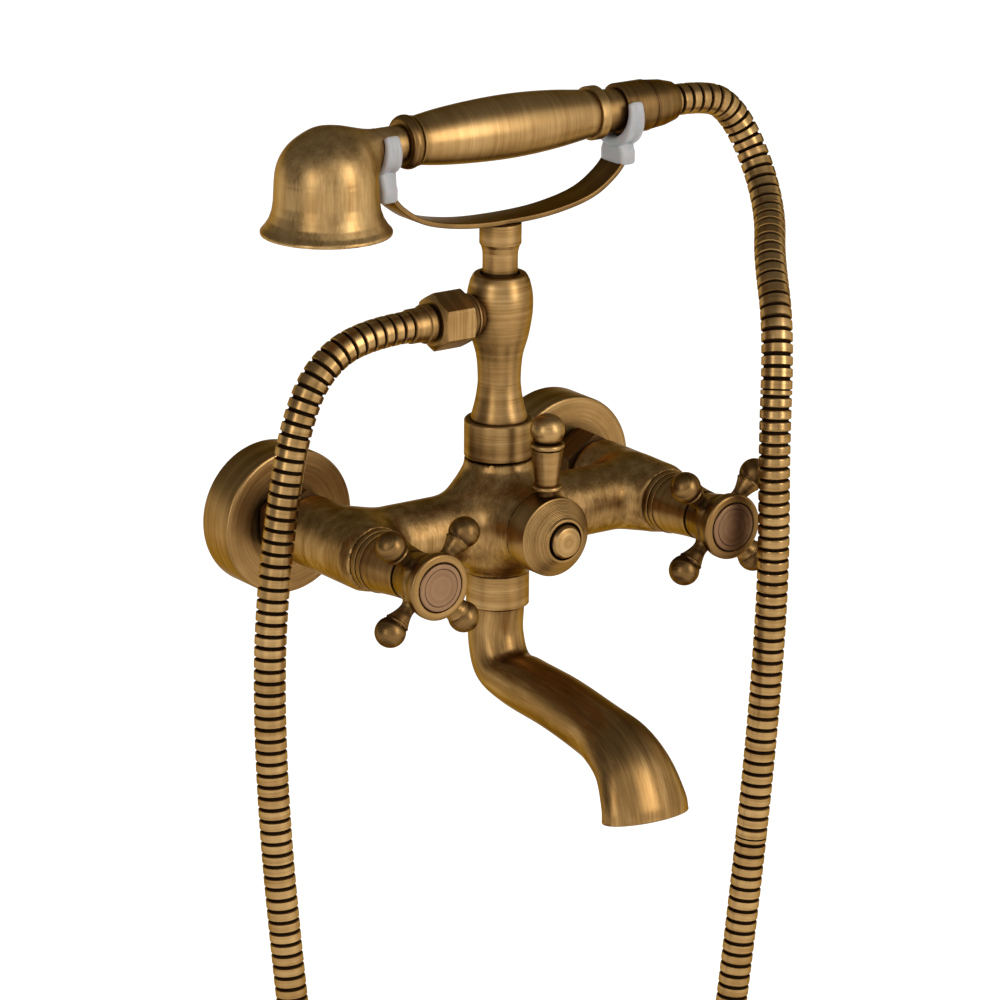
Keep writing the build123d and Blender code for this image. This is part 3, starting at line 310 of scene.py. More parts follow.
# Brushed metal; the grain scale says how fast the streaks change along the outline and round the piece
def brushedMetal(name, grain, colours=brassColours, bump=0.22, ownMarks=True, shaded=0.0, **values):
    material, tree, sockets = startMaterial(name)
    if ownMarks:
        where = addNode(tree, "ShaderNodeAttribute", attribute_name="brush").outputs["Vector"]
    else:
        where = addNode(tree, "ShaderNodeTexCoord").outputs["Object"]
    numbers = {label.capitalize(): value for label, value in values.items()}
    agedShaded = agedShadedNode(tree, where, grain, {**colours, **numbers})
    if shaded:
        shade = addNode(tree, "ShaderNodeAttribute", attribute_name="shade").outputs["Fac"]
        tone = mathNode(tree, "MULTIPLY_ADD", shade, -shaded, agedShaded.inputs["Tone"].default_value)
        tree.links.new(tone, agedShaded.inputs["Tone"])
    made = agedShaded.outputs
    relief = addNode(
        tree, "ShaderNodeBump", {"Strength": bump, "Distance": brushDepth, "Height": made["Height"]}
    )
    setSockets(tree, sockets, {
        "Base Color": made["Color"], "Roughness": made["Roughness"], "Normal": relief.outputs["Normal"],
        **brassShine,
    })
    return material


turnedBrass = brushedMetal("turnedBrass", (1500, 35, 35), tone=0.56, streaking=0.65)
lengthBrass = brushedMetal("lengthBrass", (70, 1100, 1100), tone=0.50, streaking=0.7, bump=0.26)
bellBrass = brushedMetal("bellBrass", (70, 1100, 1100), tone=0.74, streaking=0.6, bump=0.26)
gripBrass = brushedMetal("gripBrass", (1500, 35, 35), tone=0.66, streaking=0.45)
castBrass = brushedMetal("castBrass", (1100, 1100, 70), tone=0.56, streaking=0.8, bump=0.3)
deepBrass = brushedMetal("deepBrass", (1500, 35, 35), tone=0.34, streaking=0.6)
brightBrass = brushedMetal("brightBrass", (1500, 35, 35), tone=0.64, streaking=0.6)
looseBrass = brushedMetal("looseBrass", (500, 500, 900), ownMarks=False)
handleBrass = brushedMetal("handleBrass", (1500, 35, 35), shaded=0.22, tone=0.46, streaking=0.6)
capBrass = brushedMetal("capBrass", (2600, 12, 12), capColours, tone=0.55)
strapBrass = brushedMetal("strapBrass", (900, 60, 60), tone=0.34)
shadedBrass = brushedMetal("shadedBrass", (1500, 35, 35), tone=0.18, gloss=0.5)
# Plain looks: two colours in fine clouds
plainLook = {"detail": 4.0, "noiseRoughness": 0.6, "spread": 0.08, "relief": 0.1 * mm}


def plainMaterial(name, first, second, size, rough, metallic=0.0, bump=0.1, **constants):
    material, tree, sockets = startMaterial(name)
    where = addNode(tree, "ShaderNodeTexCoord").outputs["Object"]
    speckle = noiseNode(tree, where, size, plainLook["detail"], plainLook["noiseRoughness"])
    spread = plainLook["spread"]
    relief = addNode(
        tree, "ShaderNodeBump", {"Strength": bump, "Distance": plainLook["relief"], "Height": speckle}
    )
    setSockets(tree, sockets, {
        "Base Color": mixNode(tree, speckle, first, second),
        "Roughness": rangeNode(tree, speckle, 0.0, 1.0, rough - spread, rough + spread),
        "Normal": relief.outputs["Normal"], "Metallic": metallic,
        **{label.replace("_", " "): value for label, value in constants.items()},
    })
    return material


clipPlastic = plainMaterial(
    "clipPlastic", (0.44, 0.43, 0.42, 1), (0.55, 0.54, 0.53, 1), 45, 0.36, 0.0, 0.03,
    Subsurface_Weight=0.35, Subsurface_Scale=0.004, IOR=1.46,
)
print("brass and clip plastic made")


# Outlines of turned pieces, in millimetres: (radius, distance along the axis, rounding of that corner)
def roundedOutline(corners, steps=5, mostOfSide=0.49):
    points = []
    for index, corner in enumerate(corners):
        here = np.array(corner[:2], float)
        size = corner[2] if len(corner) > 2 else 0
        if not size or index in (0, len(corners) - 1):
            points.append(here)
            continue
        before = np.array(corners[index - 1][:2], float) - here
        after = np.array(corners[index + 1][:2], float) - here
        longBefore, longAfter = np.linalg.norm(before), np.linalg.norm(after)
        bend = math.acos(np.clip(before @ after / longBefore / longAfter, -1, 1))
        cut = min(size / math.tan(bend / 2), longBefore * mostOfSide, longAfter * mostOfSide)
        start, end = here + before / longBefore * cut, here + after / longAfter * cut
        for step in range(steps + 1):
            share = step / steps
            points.append((1 - share) ** 2 * start + 2 * share * (1 - share) * here + share ** 2 * end)
    return points


# A smooth run through points; the neighbours set each slope
def smoothRun(points, steps=8, columns=2):
    points = [np.array(point[:columns], float) for point in points]
    ends = [2 * points[0] - points[1]] + points + [2 * points[-1] - points[-2]]
    run = []
    for before, start, end, after in zip(ends, ends[1:], ends[2:], ends[3:]):
        for step in range(steps):
            share = step / steps
            run.append(0.5 * (
                2 * start + (end - before) * share + (2 * before - 5 * start + 4 * end - after) * share ** 2
                + (3 * start - before - 3 * end + after) * share ** 3
            ))
    return run + [points[-1]]


# A bead: half an ellipse between two places on the outline
def bead(radius, start, end, height, steps=12):
    middle, half = (start + end) / 2, (end - start) / 2
    return [
        (radius + height * math.sin(math.pi * step / steps), middle - half * math.cos(math.pi * step / steps))
        for step in range(steps + 1)
    ]


# Part of a ball, from where it stands on the outline to its far pole
def ballEnd(radius, centre, startRadius, steps=28):
    first = -math.acos(startRadius / radius)
    angles = [first + (math.pi / 2 - first) * step / steps for step in range(steps + 1)]
    return [(radius * math.cos(angle), centre + radius * math.sin(angle)) for angle in angles[:-1]] + [
        (0, centre + radius)
    ]


def placed(points, place):
    matrix = np.array(place)
    return np.asarray(points) @ matrix[:3, :3].T + matrix[:3, 3]


# Faces between rings of points that follow each other, with caps, or joined end to end
def loftFaces(levels, sides, start=0, joined=False, flipped=False):
    faces = []
    for level in range(levels if joined else levels - 1):
        low, high = start + level * sides, start + (level + 1) % levels * sides
        for index in range(sides):
            ahead = (index + 1) % sides
            face = (low + index, low + ahead, high + ahead, high + index)
            faces.append(face[:1] + face[:0:-1] if flipped else face)
    if not joined:
        first = tuple(range(start, start + sides))
        last = tuple(range(start + (levels - 1) * sides, start + levels * sides))
        faces += [first, last[::-1]] if flipped else [first[::-1], last]
    return faces


def turnedMesh(place, outline, segments=128, closed=False):
    line = np.array([point[:2] for point in outline], float) * mm
    ahead = np.roll(line, -1, axis=0)
    if np.sum(line[:, 0] * ahead[:, 1] - ahead[:, 0] * line[:, 1]) < 0:
        line = line[::-1]
    lengths = np.concatenate([[0], np.cumsum(np.hypot(*np.diff(line, axis=0).T))])
    angles = np.arange(segments) * math.tau / segments
    points, marks, rings = [], [], []
    for (radius, along), distance in zip(line, lengths):
        count = 1 if radius < tiny else segments
        rings.append(range(len(points), len(points) + count))
        for angle in angles[:count]:
            x, y = radius * math.cos(angle), radius * math.sin(angle)
            points.append((x, y, along))
            marks.append((distance, x, y))
    faces = []
    pairs = list(zip(rings, rings[1:])) + ([(rings[-1], rings[0])] if closed else [])
    for lower, upper in pairs:
        for index in range(segments):
            following = (index + 1) % segments
            if len(lower) == 1 and len(upper) > 1:
                faces.append((lower[0], upper[following], upper[index]))
            elif len(upper) == 1 and len(lower) > 1:
                faces.append((lower[index], lower[following], upper[0]))
            elif len(lower) > 1:
                faces.append((lower[index], lower[following], upper[following], upper[index]))
    return placed(points, place), faces, np.array(marks)


def addPiece(name, points, faces, marks, look, body="root", nodes=(), angle=32):
    mesh = bpy.data.meshes.new(name)
    mesh.from_pydata(np.asarray(points).tolist(), [], faces)
    mesh.update()
    return dressMesh(name, mesh, marks, look, body, nodes, angle)


def dressMesh(name, mesh, marks, look, body="root", nodes=(), angle=32):
    if marks is not None:
        attribute = mesh.attributes.new("brush", "FLOAT_VECTOR", "POINT")
        attribute.data.foreach_set("vector", np.asarray(marks, np.float32).ravel())
    mesh.polygons.foreach_set("use_smooth", np.ones(len(mesh.polygons), bool))
    mesh.set_sharp_from_angle(angle=math.radians(angle))
    mesh.materials.clear()
    mesh.materials.append(look)
    piece = bpy.data.objects.new(name, mesh)
    scene.collection.objects.link(piece)
    if body:
        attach(piece, body)
    if nodes:
        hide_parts(*nodes)
    return piece


def addTurned(name, place, outline, look, body="root", nodes=(), closed=False, segments=128, angle=32):
    points, faces, marks = turnedMesh(place, outline, segments, closed)
    return addPiece(name, points, faces, marks, look, body, nodes, angle)


# The hose: the route of part.py in millimetres, as a smooth line in three stretches
hose = {
    "radius": 6.9 * mm, "core": 5.8 * mm, "pitch": 5.1 * mm, "ringsPerRib": 14, "sides": 20,
    "rise": (0.04, 0.14), "fall": (0.80, 0.90),  # where a rib starts and ends, as shares of the pitch
    "joint": (93.25, -144.75, 62.5), "loopEnd": (81.25, -149.1, -138.0),
    "exit": (-48.3, -70, 95), "upperEnd": (91.2, -70, 176),
    "loop": [
        (-73, -70, 95), (-94.5, -70, 82.5), (-105, -70, 60), (-110.5, -70, 34), (-116.5, -70, -6),
        (-120.5, -72, -50), (-120, -75, -110), (-116, -79, -174), (-110.5, -84, -242), (-106, -90, -314),
        (-99, -96, -386), (-86, -102, -452), (-57, -108, -509), (-15, -114, -532), (28, -121, -513),
        (54, -128, -457), (64, -134, -388), (68, -139, -317), (72, -144.5, -245), (78.5, -148, -172),
    ],
    "leg": [(84, -150.2, -104), (87.5, -151, -50), (89.2, -150.8, -8), (89, -149.5, 37)],
    "upper": [
        (97.5, -140, 88), (111, -115, 113), (125, -97.5, 123), (130.5, -84.5, 137.5), (130, -74.5, 153),
        (123.5, -70.3, 167), (111.5, -70, 176),
    ],
    "lineSteps": 40,
}
ribInputs = {
    "Pitch": hose["pitch"], "Rib Radius": hose["radius"], "Core Radius": hose["core"],
    "Rings": hose["ringsPerRib"], "Sides": hose["sides"],
}


def hoseLine(name, route):
    curve = bpy.data.curves.new(name, "CURVE")
    curve.dimensions = "3D"
    curve.resolution_u = hose["lineSteps"]
    spline = curve.splines.new("NURBS")
    spline.points.add(len(route) - 1)
    for point, place in zip(spline.points, route):
        point.co = (place[0] * mm, place[1] * mm, place[2] * mm, 1)
    spline.order_u = 3
    spline.use_endpoint_u = True
    carrier = bpy.data.objects.new(name, curve)
    scene.collection.objects.link(carrier)
    bpy.context.view_layer.update()
    mesh = bpy.data.meshes.new_from_object(carrier)
    line = [tuple(vertex.co) for vertex in mesh.vertices]
    bpy.data.meshes.remove(mesh)
    bpy.data.objects.remove(carrier)
    return line


# Rib tree: even rings along the line, their radius rising and falling once a pitch
def makeRibTree():
    tree = bpy.data.node_groups.new("ribbedHose", "GeometryNodeTree")
    tree.interface.new_socket("Geometry", in_out="INPUT", socket_type="NodeSocketGeometry")
    for label, value in ribInputs.items():
        kind = "NodeSocketInt" if isinstance(value, int) else "NodeSocketFloat"
        tree.interface.new_socket(label, in_out="INPUT", socket_type=kind).default_value = value
    tree.interface.new_socket("Material", in_out="INPUT", socket_type="NodeSocketMaterial")
    tree.interface.new_socket("Geometry", in_out="OUTPUT", socket_type="NodeSocketGeometry")
    given = tree.nodes.new("NodeGroupInput").outputs
    result = tree.nodes.new("NodeGroupOutput").inputs
    line = addNode(tree, "GeometryNodeMeshToCurve", {"Mesh": given["Geometry"]}).outputs[0]
    spacing = mathNode(tree, "DIVIDE", given["Pitch"], given["Rings"])
    even = addNode(
        tree, "GeometryNodeResampleCurve", {"Curve": line, "Length": spacing}, mode="LENGTH"
    ).outputs[0]
    place = addNode(tree, "GeometryNodeSplineParameter").outputs["Length"]
    phase = mathNode(tree, "FRACT", mathNode(tree, "DIVIDE", place, given["Pitch"]))
    rise = rangeNode(tree, phase, *hose["rise"], smooth=True)
    fall = rangeNode(tree, phase, *hose["fall"], 1.0, 0.0, smooth=True)
    height = mathNode(tree, "MULTIPLY", rise, fall)
    lift = mathNode(tree, "SUBTRACT", given["Rib Radius"], given["Core Radius"])
    radius = mathNode(tree, "MULTIPLY_ADD", height, lift, given["Core Radius"])
    marked = even
    for label, value in (("rib", height), ("run", place)):
        marked = addNode(
            tree, "GeometryNodeStoreNamedAttribute", {"Geometry": marked, "Name": label, "Value": value},
            data_type="FLOAT", domain="POINT",
        ).outputs[0]
    sized = addNode(tree, "GeometryNodeSetCurveRadius", {"Curve": marked, "Radius": radius}).outputs[0]
    ring = addNode(
        tree, "GeometryNodeCurvePrimitiveCircle", {"Resolution": given["Sides"], "Radius": 1.0}
    ).outputs[0]
    tube = addNode(
        tree, "GeometryNodeCurveToMesh", {"Curve": sized, "Profile Curve": ring, "Fill Caps": True}
    )
    if "Scale" in tube.inputs:
        tree.links.new(radius, tube.inputs["Scale"])
    whole = addNode(tree, "GeometryNodeRealizeInstances", {0: tube.outputs[0]}).outputs[0]
    dressed = addNode(
        tree, "GeometryNodeSetMaterial", {"Geometry": whole, "Material": given["Material"]}
    ).outputs[0]
    tree.links.new(dressed, result[0])
    return tree


# The plain mesh that a carrier object's modifiers make; the carrier goes
def takeMesh(carrier):
    scene.collection.objects.link(carrier)
    bpy.context.view_layer.update()
    shape = carrier.evaluated_get(bpy.context.evaluated_depsgraph_get())
    mesh = bpy.data.meshes.new_from_object(shape)
    carrier.modifiers.clear()
    bpy.data.objects.remove(carrier)
    return mesh


def meshFromTree(carrier, tree, values):
    modifier = carrier.modifiers.new("tree", "NODES")
    modifier.node_group = tree
    for item in tree.interface.items_tree:
        if item.item_type == "SOCKET" and item.in_out == "INPUT" and item.name in values:
            modifier[item.identifier] = values[item.name]
    return takeMesh(carrier)


# the groove colour is painted shade: a near-black colour in the grooves between the ribs
hoseLook = {
    "grain": 1900, "spotShare": 0.05, "agedShaded": {"Tone": 0.64, "Soil": 0.25},
    "groove": (0.018, 0.009, 0.004, 1), "crest": (0.25, 0.85), "roughness": (0.75, 0.30),
}


def hoseMaterial():
    material, tree, sockets = startMaterial("hoseBrass")
    rib, run = [
        addNode(tree, "ShaderNodeAttribute", attribute_name=label).outputs["Fac"] for label in ("rib", "run")
    ]
    where = addNode(tree, "ShaderNodeTexCoord").outputs["Object"]
    grain = addNode(tree, "ShaderNodeCombineXYZ", {"X": run}).outputs[0]
    spot = vectorNode(tree, "MULTIPLY", where, (hoseLook["spotShare"],) * 3)
    mixed = vectorNode(tree, "ADD", grain, spot)
    agedShaded = agedShadedNode(tree, mixed, (hoseLook["grain"],) * 3, {**brassColours, **hoseLook["agedShaded"]})
    # painted shade: the grooves between the ribs turn near black
    crest = rangeNode(tree, rib, *hoseLook["crest"], smooth=True)
    setSockets(tree, sockets, {
        "Base Color": mixNode(tree, crest, hoseLook["groove"], agedShaded.outputs["Color"]),
        "Roughness": rangeNode(tree, crest, 0.0, 1.0, *hoseLook["roughness"]), **brassShine,
    })
    return material


hoseBrass = hoseMaterial()
ribTree = makeRibTree()


def addHose(name, route, node, body=None, crossing=None):
    line = hoseLine(name + "Line", route)
    length = sum(math.dist(start, end) for start, end in zip(line, line[1:]))
    base = bpy.data.meshes.new(name + "Line")
    base.from_pydata(line, [(index, index + 1) for index in range(len(line) - 1)], [])
    carrier = bpy.data.objects.new(name + "Line", base)
    mesh = meshFromTree(carrier, ribTree, {**ribInputs, "Material": hoseBrass})
    piece = dressMesh(name, mesh, None, hoseBrass, body, (node,), angle=50)
    if crossing:
        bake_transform(piece)
    return length


loopRoute = [hose["exit"]] + hose["loop"] + [hose["loopEnd"]]
legRoute = [hose["loopEnd"]] + hose["leg"] + [hose["joint"]]
upperRoute = [hose["joint"]] + hose["upper"] + [hose["upperEnd"]]
hoseLength = addHose("hoseLoop", loopRoute, "hose_lower", body="root")
hoseLength += addHose(
    "hoseLeg", legRoute, "hose_lower",
    crossing=("root", "cradle_body", (0, 0, 8 * mm), (0, 0, 62 * mm)),
)
hoseLength += addHose(
    "hoseUpper", upperRoute, "hose_upper",
    crossing=("cradle_body", "handset_body", (0, 0, 66 * mm), (0, 0, 160 * mm)),
)
print("hose length", round(hoseLength, 3), "m")


# Wall flanges, unions and their nuts
flangeShape = {
    "outline": [
        (12.1, 17.9), (12.1, 19.5, 0.4), (32.3, 19.5, 1.6), (32.3, 0, 0.4), (30.7, 0, 0.3), (30.7, 17.9, 1.2),
    ],
}
unionNut = {"flats": 30.0, "start": 20.9, "end": 37.5, "bore": 10.7, "chamfer": 1.6, "cornerCut": 0.3}


def addHexNut(name, place, shape, look, node, segments=144, cutSteps=8):
    # a hexagon with its corners turned off at both ends and a bore through it
    cornerRadius = shape["flats"] / math.sqrt(3) - shape["cornerCut"]
    half = shape["flats"] / 2
    length, chamfer = shape["end"] - shape["start"], shape["chamfer"]
    inset = half - (cornerRadius - half)
    cuts = [chamfer * step / cutSteps for step in range(cutSteps + 1)]
    profile = [(shape["bore"], 0), (inset, 0)]
    profile += [
        (min(inset + (cornerRadius - inset) * min(at, length - at) / chamfer, cornerRadius), at)
        for at in cuts + [length - chamfer + cut for cut in cuts]
    ]
    profile += [(inset, length), (shape["bore"], length)]
    points, marks = [], []
    for radius, at in profile:
        for index in range(segments):
            angle = math.tau * index / segments
            flat = half / math.cos((angle + math.pi / 6) % (math.pi / 3) - math.pi / 6)
            x, y = min(radius, flat) * math.cos(angle), min(radius, flat) * math.sin(angle)
            points.append((x, y, shape["start"] + at))
            marks.append((at, x, y))
    faces = loftFaces(len(profile), segments, joined=True)
    addPiece(name, placed(np.array(points) * mm, place), faces, np.array(marks) * mm, look, nodes=(node,),
             angle=18)


for side in ("hot", "cold"):
    addTurned(
        side + "FlangeCup", wallAxes[side], roundedOutline(flangeShape["outline"]), turnedBrass,
        nodes=(side + "_flange",), closed=True, segments=160,
    )
    addHexNut(side + "UnionHex", valveAxes[side], unionNut, shadedBrass, side + "_union_nut")
print("wall side done")


# Smooth castings: turned shapes melted together, each with the width of its blend
casting = {"segments": 96, "steps": 3, "leastSlope": 0.2, "voxelsPerStep": 2, "relax": 0.6}


def turnedDistance(points, place, outline):
    local = placed(points, place.inverted())
    radius = np.hypot(local[:, 0], local[:, 1])
    flat = np.stack([radius, local[:, 2]], 1)
    best = np.full(len(flat), np.inf)
    nearest = np.zeros_like(flat)
    inside = np.zeros(len(flat), bool)
    for start, end in zip(outline, outline[1:]):
        edge = end - start
        if edge @ edge < tinySquare:
            continue
        share = np.clip((flat - start) @ edge / (edge @ edge), 0, 1)
        foot = start + share[:, None] * edge
        gap = np.hypot(*(flat - foot).T)
        closer = gap < best
        best[closer] = gap[closer]
        nearest[closer] = foot[closer]
        if edge[1]:
            crossed = (start[1] > flat[:, 1]) != (end[1] > flat[:, 1])
            inside ^= crossed & (flat[:, 0] < start[0] + (flat[:, 1] - start[1]) / edge[1] * edge[0])
    sign = np.where(inside, -1.0, 1.0)
    slope = (flat - nearest) / np.maximum(best, tiny)[:, None] * sign[:, None]
    spoke = local[:, :2] / np.maximum(radius, tiny)[:, None]
    gradient = np.column_stack([spoke * slope[:, :1], slope[:, 1:]])
    return best * sign, gradient @ np.array(place)[:3, :3].T


def meltedDistance(points, shapes):
    value, gradient = turnedDistance(points, *shapes[0][:2])
    for place, outline, blend in shapes[1:]:
        other, otherGradient = turnedDistance(points, place, outline)
        overlap = np.maximum(blend - np.abs(value - other), 0) / blend
        weight = np.where(value < other, 1 - overlap / 2, overlap / 2)[:, None]
        value = np.minimum(value, other) - overlap ** 2 * blend / 4
        gradient = gradient * weight + otherGradient * (1 - weight)
    return value, gradient


def meltedMesh(name, shapes, voxel, rounds=4):
    # an even skin over the joined shapes, then drawn onto the melted surface
    points, faces = [], []
    for place, outline, blend in shapes:
        world, loops, _ = turnedMesh(place, outline, casting["segments"])
        faces += [tuple(index + len(points) for index in loop) for loop in loops]
        points += world.tolist()
    rough = bpy.data.meshes.new(name + "Rough")
    rough.from_pydata(points, [], faces)
    carrier = bpy.data.objects.new(name + "Rough", rough)
    skin = carrier.modifiers.new("skin", "REMESH")
    skin.mode, skin.voxel_size, skin.use_smooth_shade = "VOXEL", voxel, True
    mesh = takeMesh(carrier)
    count = len(mesh.vertices)
    flat = np.zeros(count * 3)
    mesh.vertices.foreach_get("co", flat)
    surface = flat.reshape(-1, 3)
    pairs = np.zeros(len(mesh.edges) * 2, int)
    mesh.edges.foreach_get("vertices", pairs)
    pairs = pairs.reshape(-1, 2)
    pairs = np.concatenate([pairs, pairs[:, ::-1]])
    valence = np.bincount(pairs[:, 0], minlength=count)[:, None]
    metric = [
        (place, np.array([point[:2] for point in outline], float) * mm, blend)
        for place, outline, blend in shapes
    ]
    furthest = casting["voxelsPerStep"] * voxel
    for turn in range(rounds):
        for step in range(casting["steps"]):
            value, gradient = meltedDistance(surface, metric)
            size = np.maximum(np.sum(gradient ** 2, 1), casting["leastSlope"])
            surface = surface - np.clip(value / size, -furthest, furthest)[:, None] * gradient
        if turn < rounds - 1:
            total = np.stack([
                np.bincount(pairs[:, 0], surface[pairs[:, 1], axis], minlength=count) for axis in range(3)
            ], 1)
            drift = total / valence - surface
            unit = gradient / np.maximum(np.linalg.norm(gradient, axis=1), tiny)[:, None]
            surface = surface + casting["relax"] * (drift - unit * np.sum(unit * drift, 1)[:, None])
    mesh.vertices.foreach_set("co", surface.ravel())
    mesh.update()
    print(name, count, "points")
    return mesh, surface


bodyShape = {
    "hub": [
        (0, -21), (13.4, -21, 0.4), (13.8, -19.5, 2.0), (17.3, -13.5, 4.0), (17.6, 18, 5.0),
        (15.0, 26.5, 3.0), (14.9, 29.7, 0.6), (0, 29.7),
    ],
    "arms": [(0, -77), (14.9, -77, 3), (14.9, 77, 3), (0, 77)],
    "boss": [(0, 70), (17.3, 70, 1), (17.3, 100.7, 0.7), (0, 100.7)],
    "end": [(0, 38), (15.5, 38, 2.6), (15.5, 84, 3.0), (14.3, 89.5, 1.0), (0, 89.5)],
    "blends": {"arms": 15 * mm, "boss": 13 * mm, "end": 8 * mm}, "voxel": 1.1 * mm,
}


def addBody():
    shapes = [(columnAxis, roundedOutline(bodyShape["hub"]), 0)]
    places = [(crossAxis, "arms"), (bossAxis, "boss"), (valveAxes["hot"], "end"), (valveAxes["cold"], "end")]
    for place, key in places:
        shapes.append((place, roundedOutline(bodyShape[key]), bodyShape["blends"][key]))
    mesh, surface = meltedMesh("bodyCasting", shapes, bodyShape["voxel"])
    dressMesh("bodyCasting", mesh, surface, castBrass, nodes=("mixer_body",), angle=40)


addBody()
print("body done")

# Shrouds, cross handles and their caps
valveShape = {
    "shroud": [
        (7.2, 89.6), (13.7, 89.6, 0.4), (13.7, 92.7, 0.5), (12.5, 92.7, 0.1), (12.5, 93.3, 0.1),
        (13.4, 93.3, 0.3), (13.4, 95.9, 0.4), (12.9, 95.9, 0.1),
    ],
    "shroudCone": [(12.9, 96.0), (12.4, 100.5), (11.7, 106.0), (11.2, 111.0), (10.9, 115.8)],
    "shroudTip": (7.2, 115.8),
    "hub": [
        (0, 116.4), (10.4, 116.4, 0.4), (10.9, 120.2, 1.6), (12.4, 127.5, 5.0), (11.4, 132, 0.5),
        (14.0, 132, 0.7), (14.6, 134.0, 1.2), (14.6, 137.4, 1.5), (10.9, 137.4, 0.3), (10.9, 134.6),
        (0, 134.6),
    ],
    "armPlane": 127.5, "ballRadius": 6.7, "ballCentre": 26.5, "ballSeat": 5.0, "armBlend": 2.2 * mm,
    "armFoot": [(0, 6), (4.6, 6), (4.5, 9.5)], "armRun": [(4.3, 10.5), (3.4, 13.0), (3.3, 15.5), (4.0, 18.2)],
    "armEnd": 5.1, "armBead": 0.4, "voxel": 0.42 * mm, "grainTwist": 0.5, "shadeFrom": 21.0, "shadeOver": 1.5,
    "cap": [
        (0, 134.6), (10.6, 134.6), (10.6, 137.3, 0.3), (10.2, 137.8, 0.3), (8.4, 137.9, 0.1),
        (8.2, 137.6, 0.1), (8.0, 137.9, 0.1), (0, 138.0),
    ],
}


def handleArm():
    ball, centre, neck = valveShape["ballRadius"], valveShape["ballCentre"], valveShape["ballSeat"]
    seat = centre - math.sqrt(ball ** 2 - neck ** 2)
    end = valveShape["armEnd"]
    outline = valveShape["armFoot"] + smoothRun(valveShape["armRun"] + [(end, seat - 1.1)])
    return outline + bead(end, seat - 1.0, seat - 0.1, valveShape["armBead"], 8) + ballEnd(ball, centre, neck)


def addHandle(side):
    place = valveAxes[side]
    shapes = [(place, roundedOutline(valveShape["hub"]), 0)]
    for quarter in range(4):
        spin = Matrix.Rotation(math.radians(45 + 90 * quarter), 4, "Z")
        tip = Matrix.Rotation(math.pi / 2, 4, "Y")
        armPlace = place @ Matrix.Translation((0, 0, valveShape["armPlane"] * mm)) @ spin @ tip
        shapes.append((armPlace, handleArm(), valveShape["armBlend"]))
    mesh, surface = meltedMesh(side + "CrossHandle", shapes, valveShape["voxel"], 3)
    offset = surface - np.array(place.translation)
    spread = np.hypot(offset[:, 0], offset[:, 2])
    marks = np.stack([spread - valveShape["grainTwist"] * surface[:, 1], offset[:, 0], offset[:, 2]], 1)
    depth = np.clip((spread / mm - valveShape["shadeFrom"]) / valveShape["shadeOver"], 0, 1)
    shade = mesh.attributes.new("shade", "FLOAT", "POINT")
    shade.data.foreach_set("value", depth.astype(np.float32))
    dressMesh(
        side + "CrossHandle", mesh, marks, handleBrass, side + "_valve_body", (side + "_handle",), angle=60
    )


for side in ("hot", "cold"):
    cone = roundedOutline(valveShape["shroud"]) + smoothRun(valveShape["shroudCone"])
    cone += [valveShape["shroudTip"]]
    addTurned(
        side + "ShroudCone", valveAxes[side], cone, turnedBrass, nodes=(side + "_shroud",), closed=True
    )
    addHandle(side)
    addTurned(
        side + "CapDisc", valveAxes[side], roundedOutline(valveShape["cap"]), capBrass,
        side + "_valve_body", (side + "_index_cap",),
    )
print("valves done")

# Diverter knob with its turned rings, button and lever
knobShape = {
    "back": [(0, 104.6), (10.9, 104.6), (10.9, 101.0), (17.4, 101.0, 0.4), (17.4, 112.6, 0.7)],
    "coneStart": (16.6, 112.9), "coneEnd": (9.9, 119.4), "rings": 14, "ringDepth": 0.07, "ringShare": 0.5,
    "coneEdge": 0.3, "ringEdge": 0.1, "grooveEdge": 0.08,
    "nose": [(9.6, 119.9, 0.4), (8.4, 120.0, 0.3), (8.3, 114.8), (0, 114.8)],
    "button": [(0, 114.9), (7.2, 114.9), (7.3, 120.7, 0.2), (6.5, 122.1, 1.0), (3.5, 122.6, 1.5), (0, 122.7)],
}


def knobOutline():
    start, end = np.array(knobShape["coneStart"]), np.array(knobShape["coneEnd"])
    step = (end - start) / knobShape["rings"]
    inside = np.array((-1.0, -1.0)) * knobShape["ringDepth"]
    edge, groove = knobShape["ringEdge"], knobShape["grooveEdge"]
    corners = list(knobShape["back"]) + [(*start, knobShape["coneEdge"])]
    for count in range(1, knobShape["rings"]):
        here = start + step * count
        cut = step * knobShape["ringShare"] / 2
        corners += [(*(here - cut), edge), (*(here + inside), groove), (*(here + cut), edge)]
    return roundedOutline(corners + [(*end, knobShape["coneEdge"])] + knobShape["nose"], 4)


leverShape = {
    "stud": [(0, 12.5), (2.9, 12.5), (2.9, 17.0), (3.6, 17.0), (3.6, 19.7, 0.3), (5.4, 19.7, 0.3)],
    "cone": [(5.0, 22.4, 0.4), (6.9, 37.9, 0.3), (6.3, 38.1, 0.1)],
    "lowBead": (5.7, 19.8, 22.2, 0.95, 8), "highBead": (6.5, 38.3, 40.8, 0.9, 10), "seat": (5.0, 41.0),
    "ball": (7.4, 46.3, 5.1),
}


def leverOutline():
    outline = roundedOutline(leverShape["stud"]) + bead(*leverShape["lowBead"])
    outline += roundedOutline(leverShape["cone"]) + bead(*leverShape["highBead"])
    return outline + [leverShape["seat"]] + ballEnd(*leverShape["ball"])


addTurned("knobTurned", bossAxis, knobOutline(), turnedBrass, "diverter_body", ("diverter_knob",), angle=28)
addTurned("buttonTurned", bossAxis, roundedOutline(knobShape["button"]), brightBrass, "diverter_body",
          ("diverter_button",))
addTurned("leverTurned", leverAxis, leverOutline(), brightBrass, "diverter_body", ("diverter_lever",))
print("diverter done")

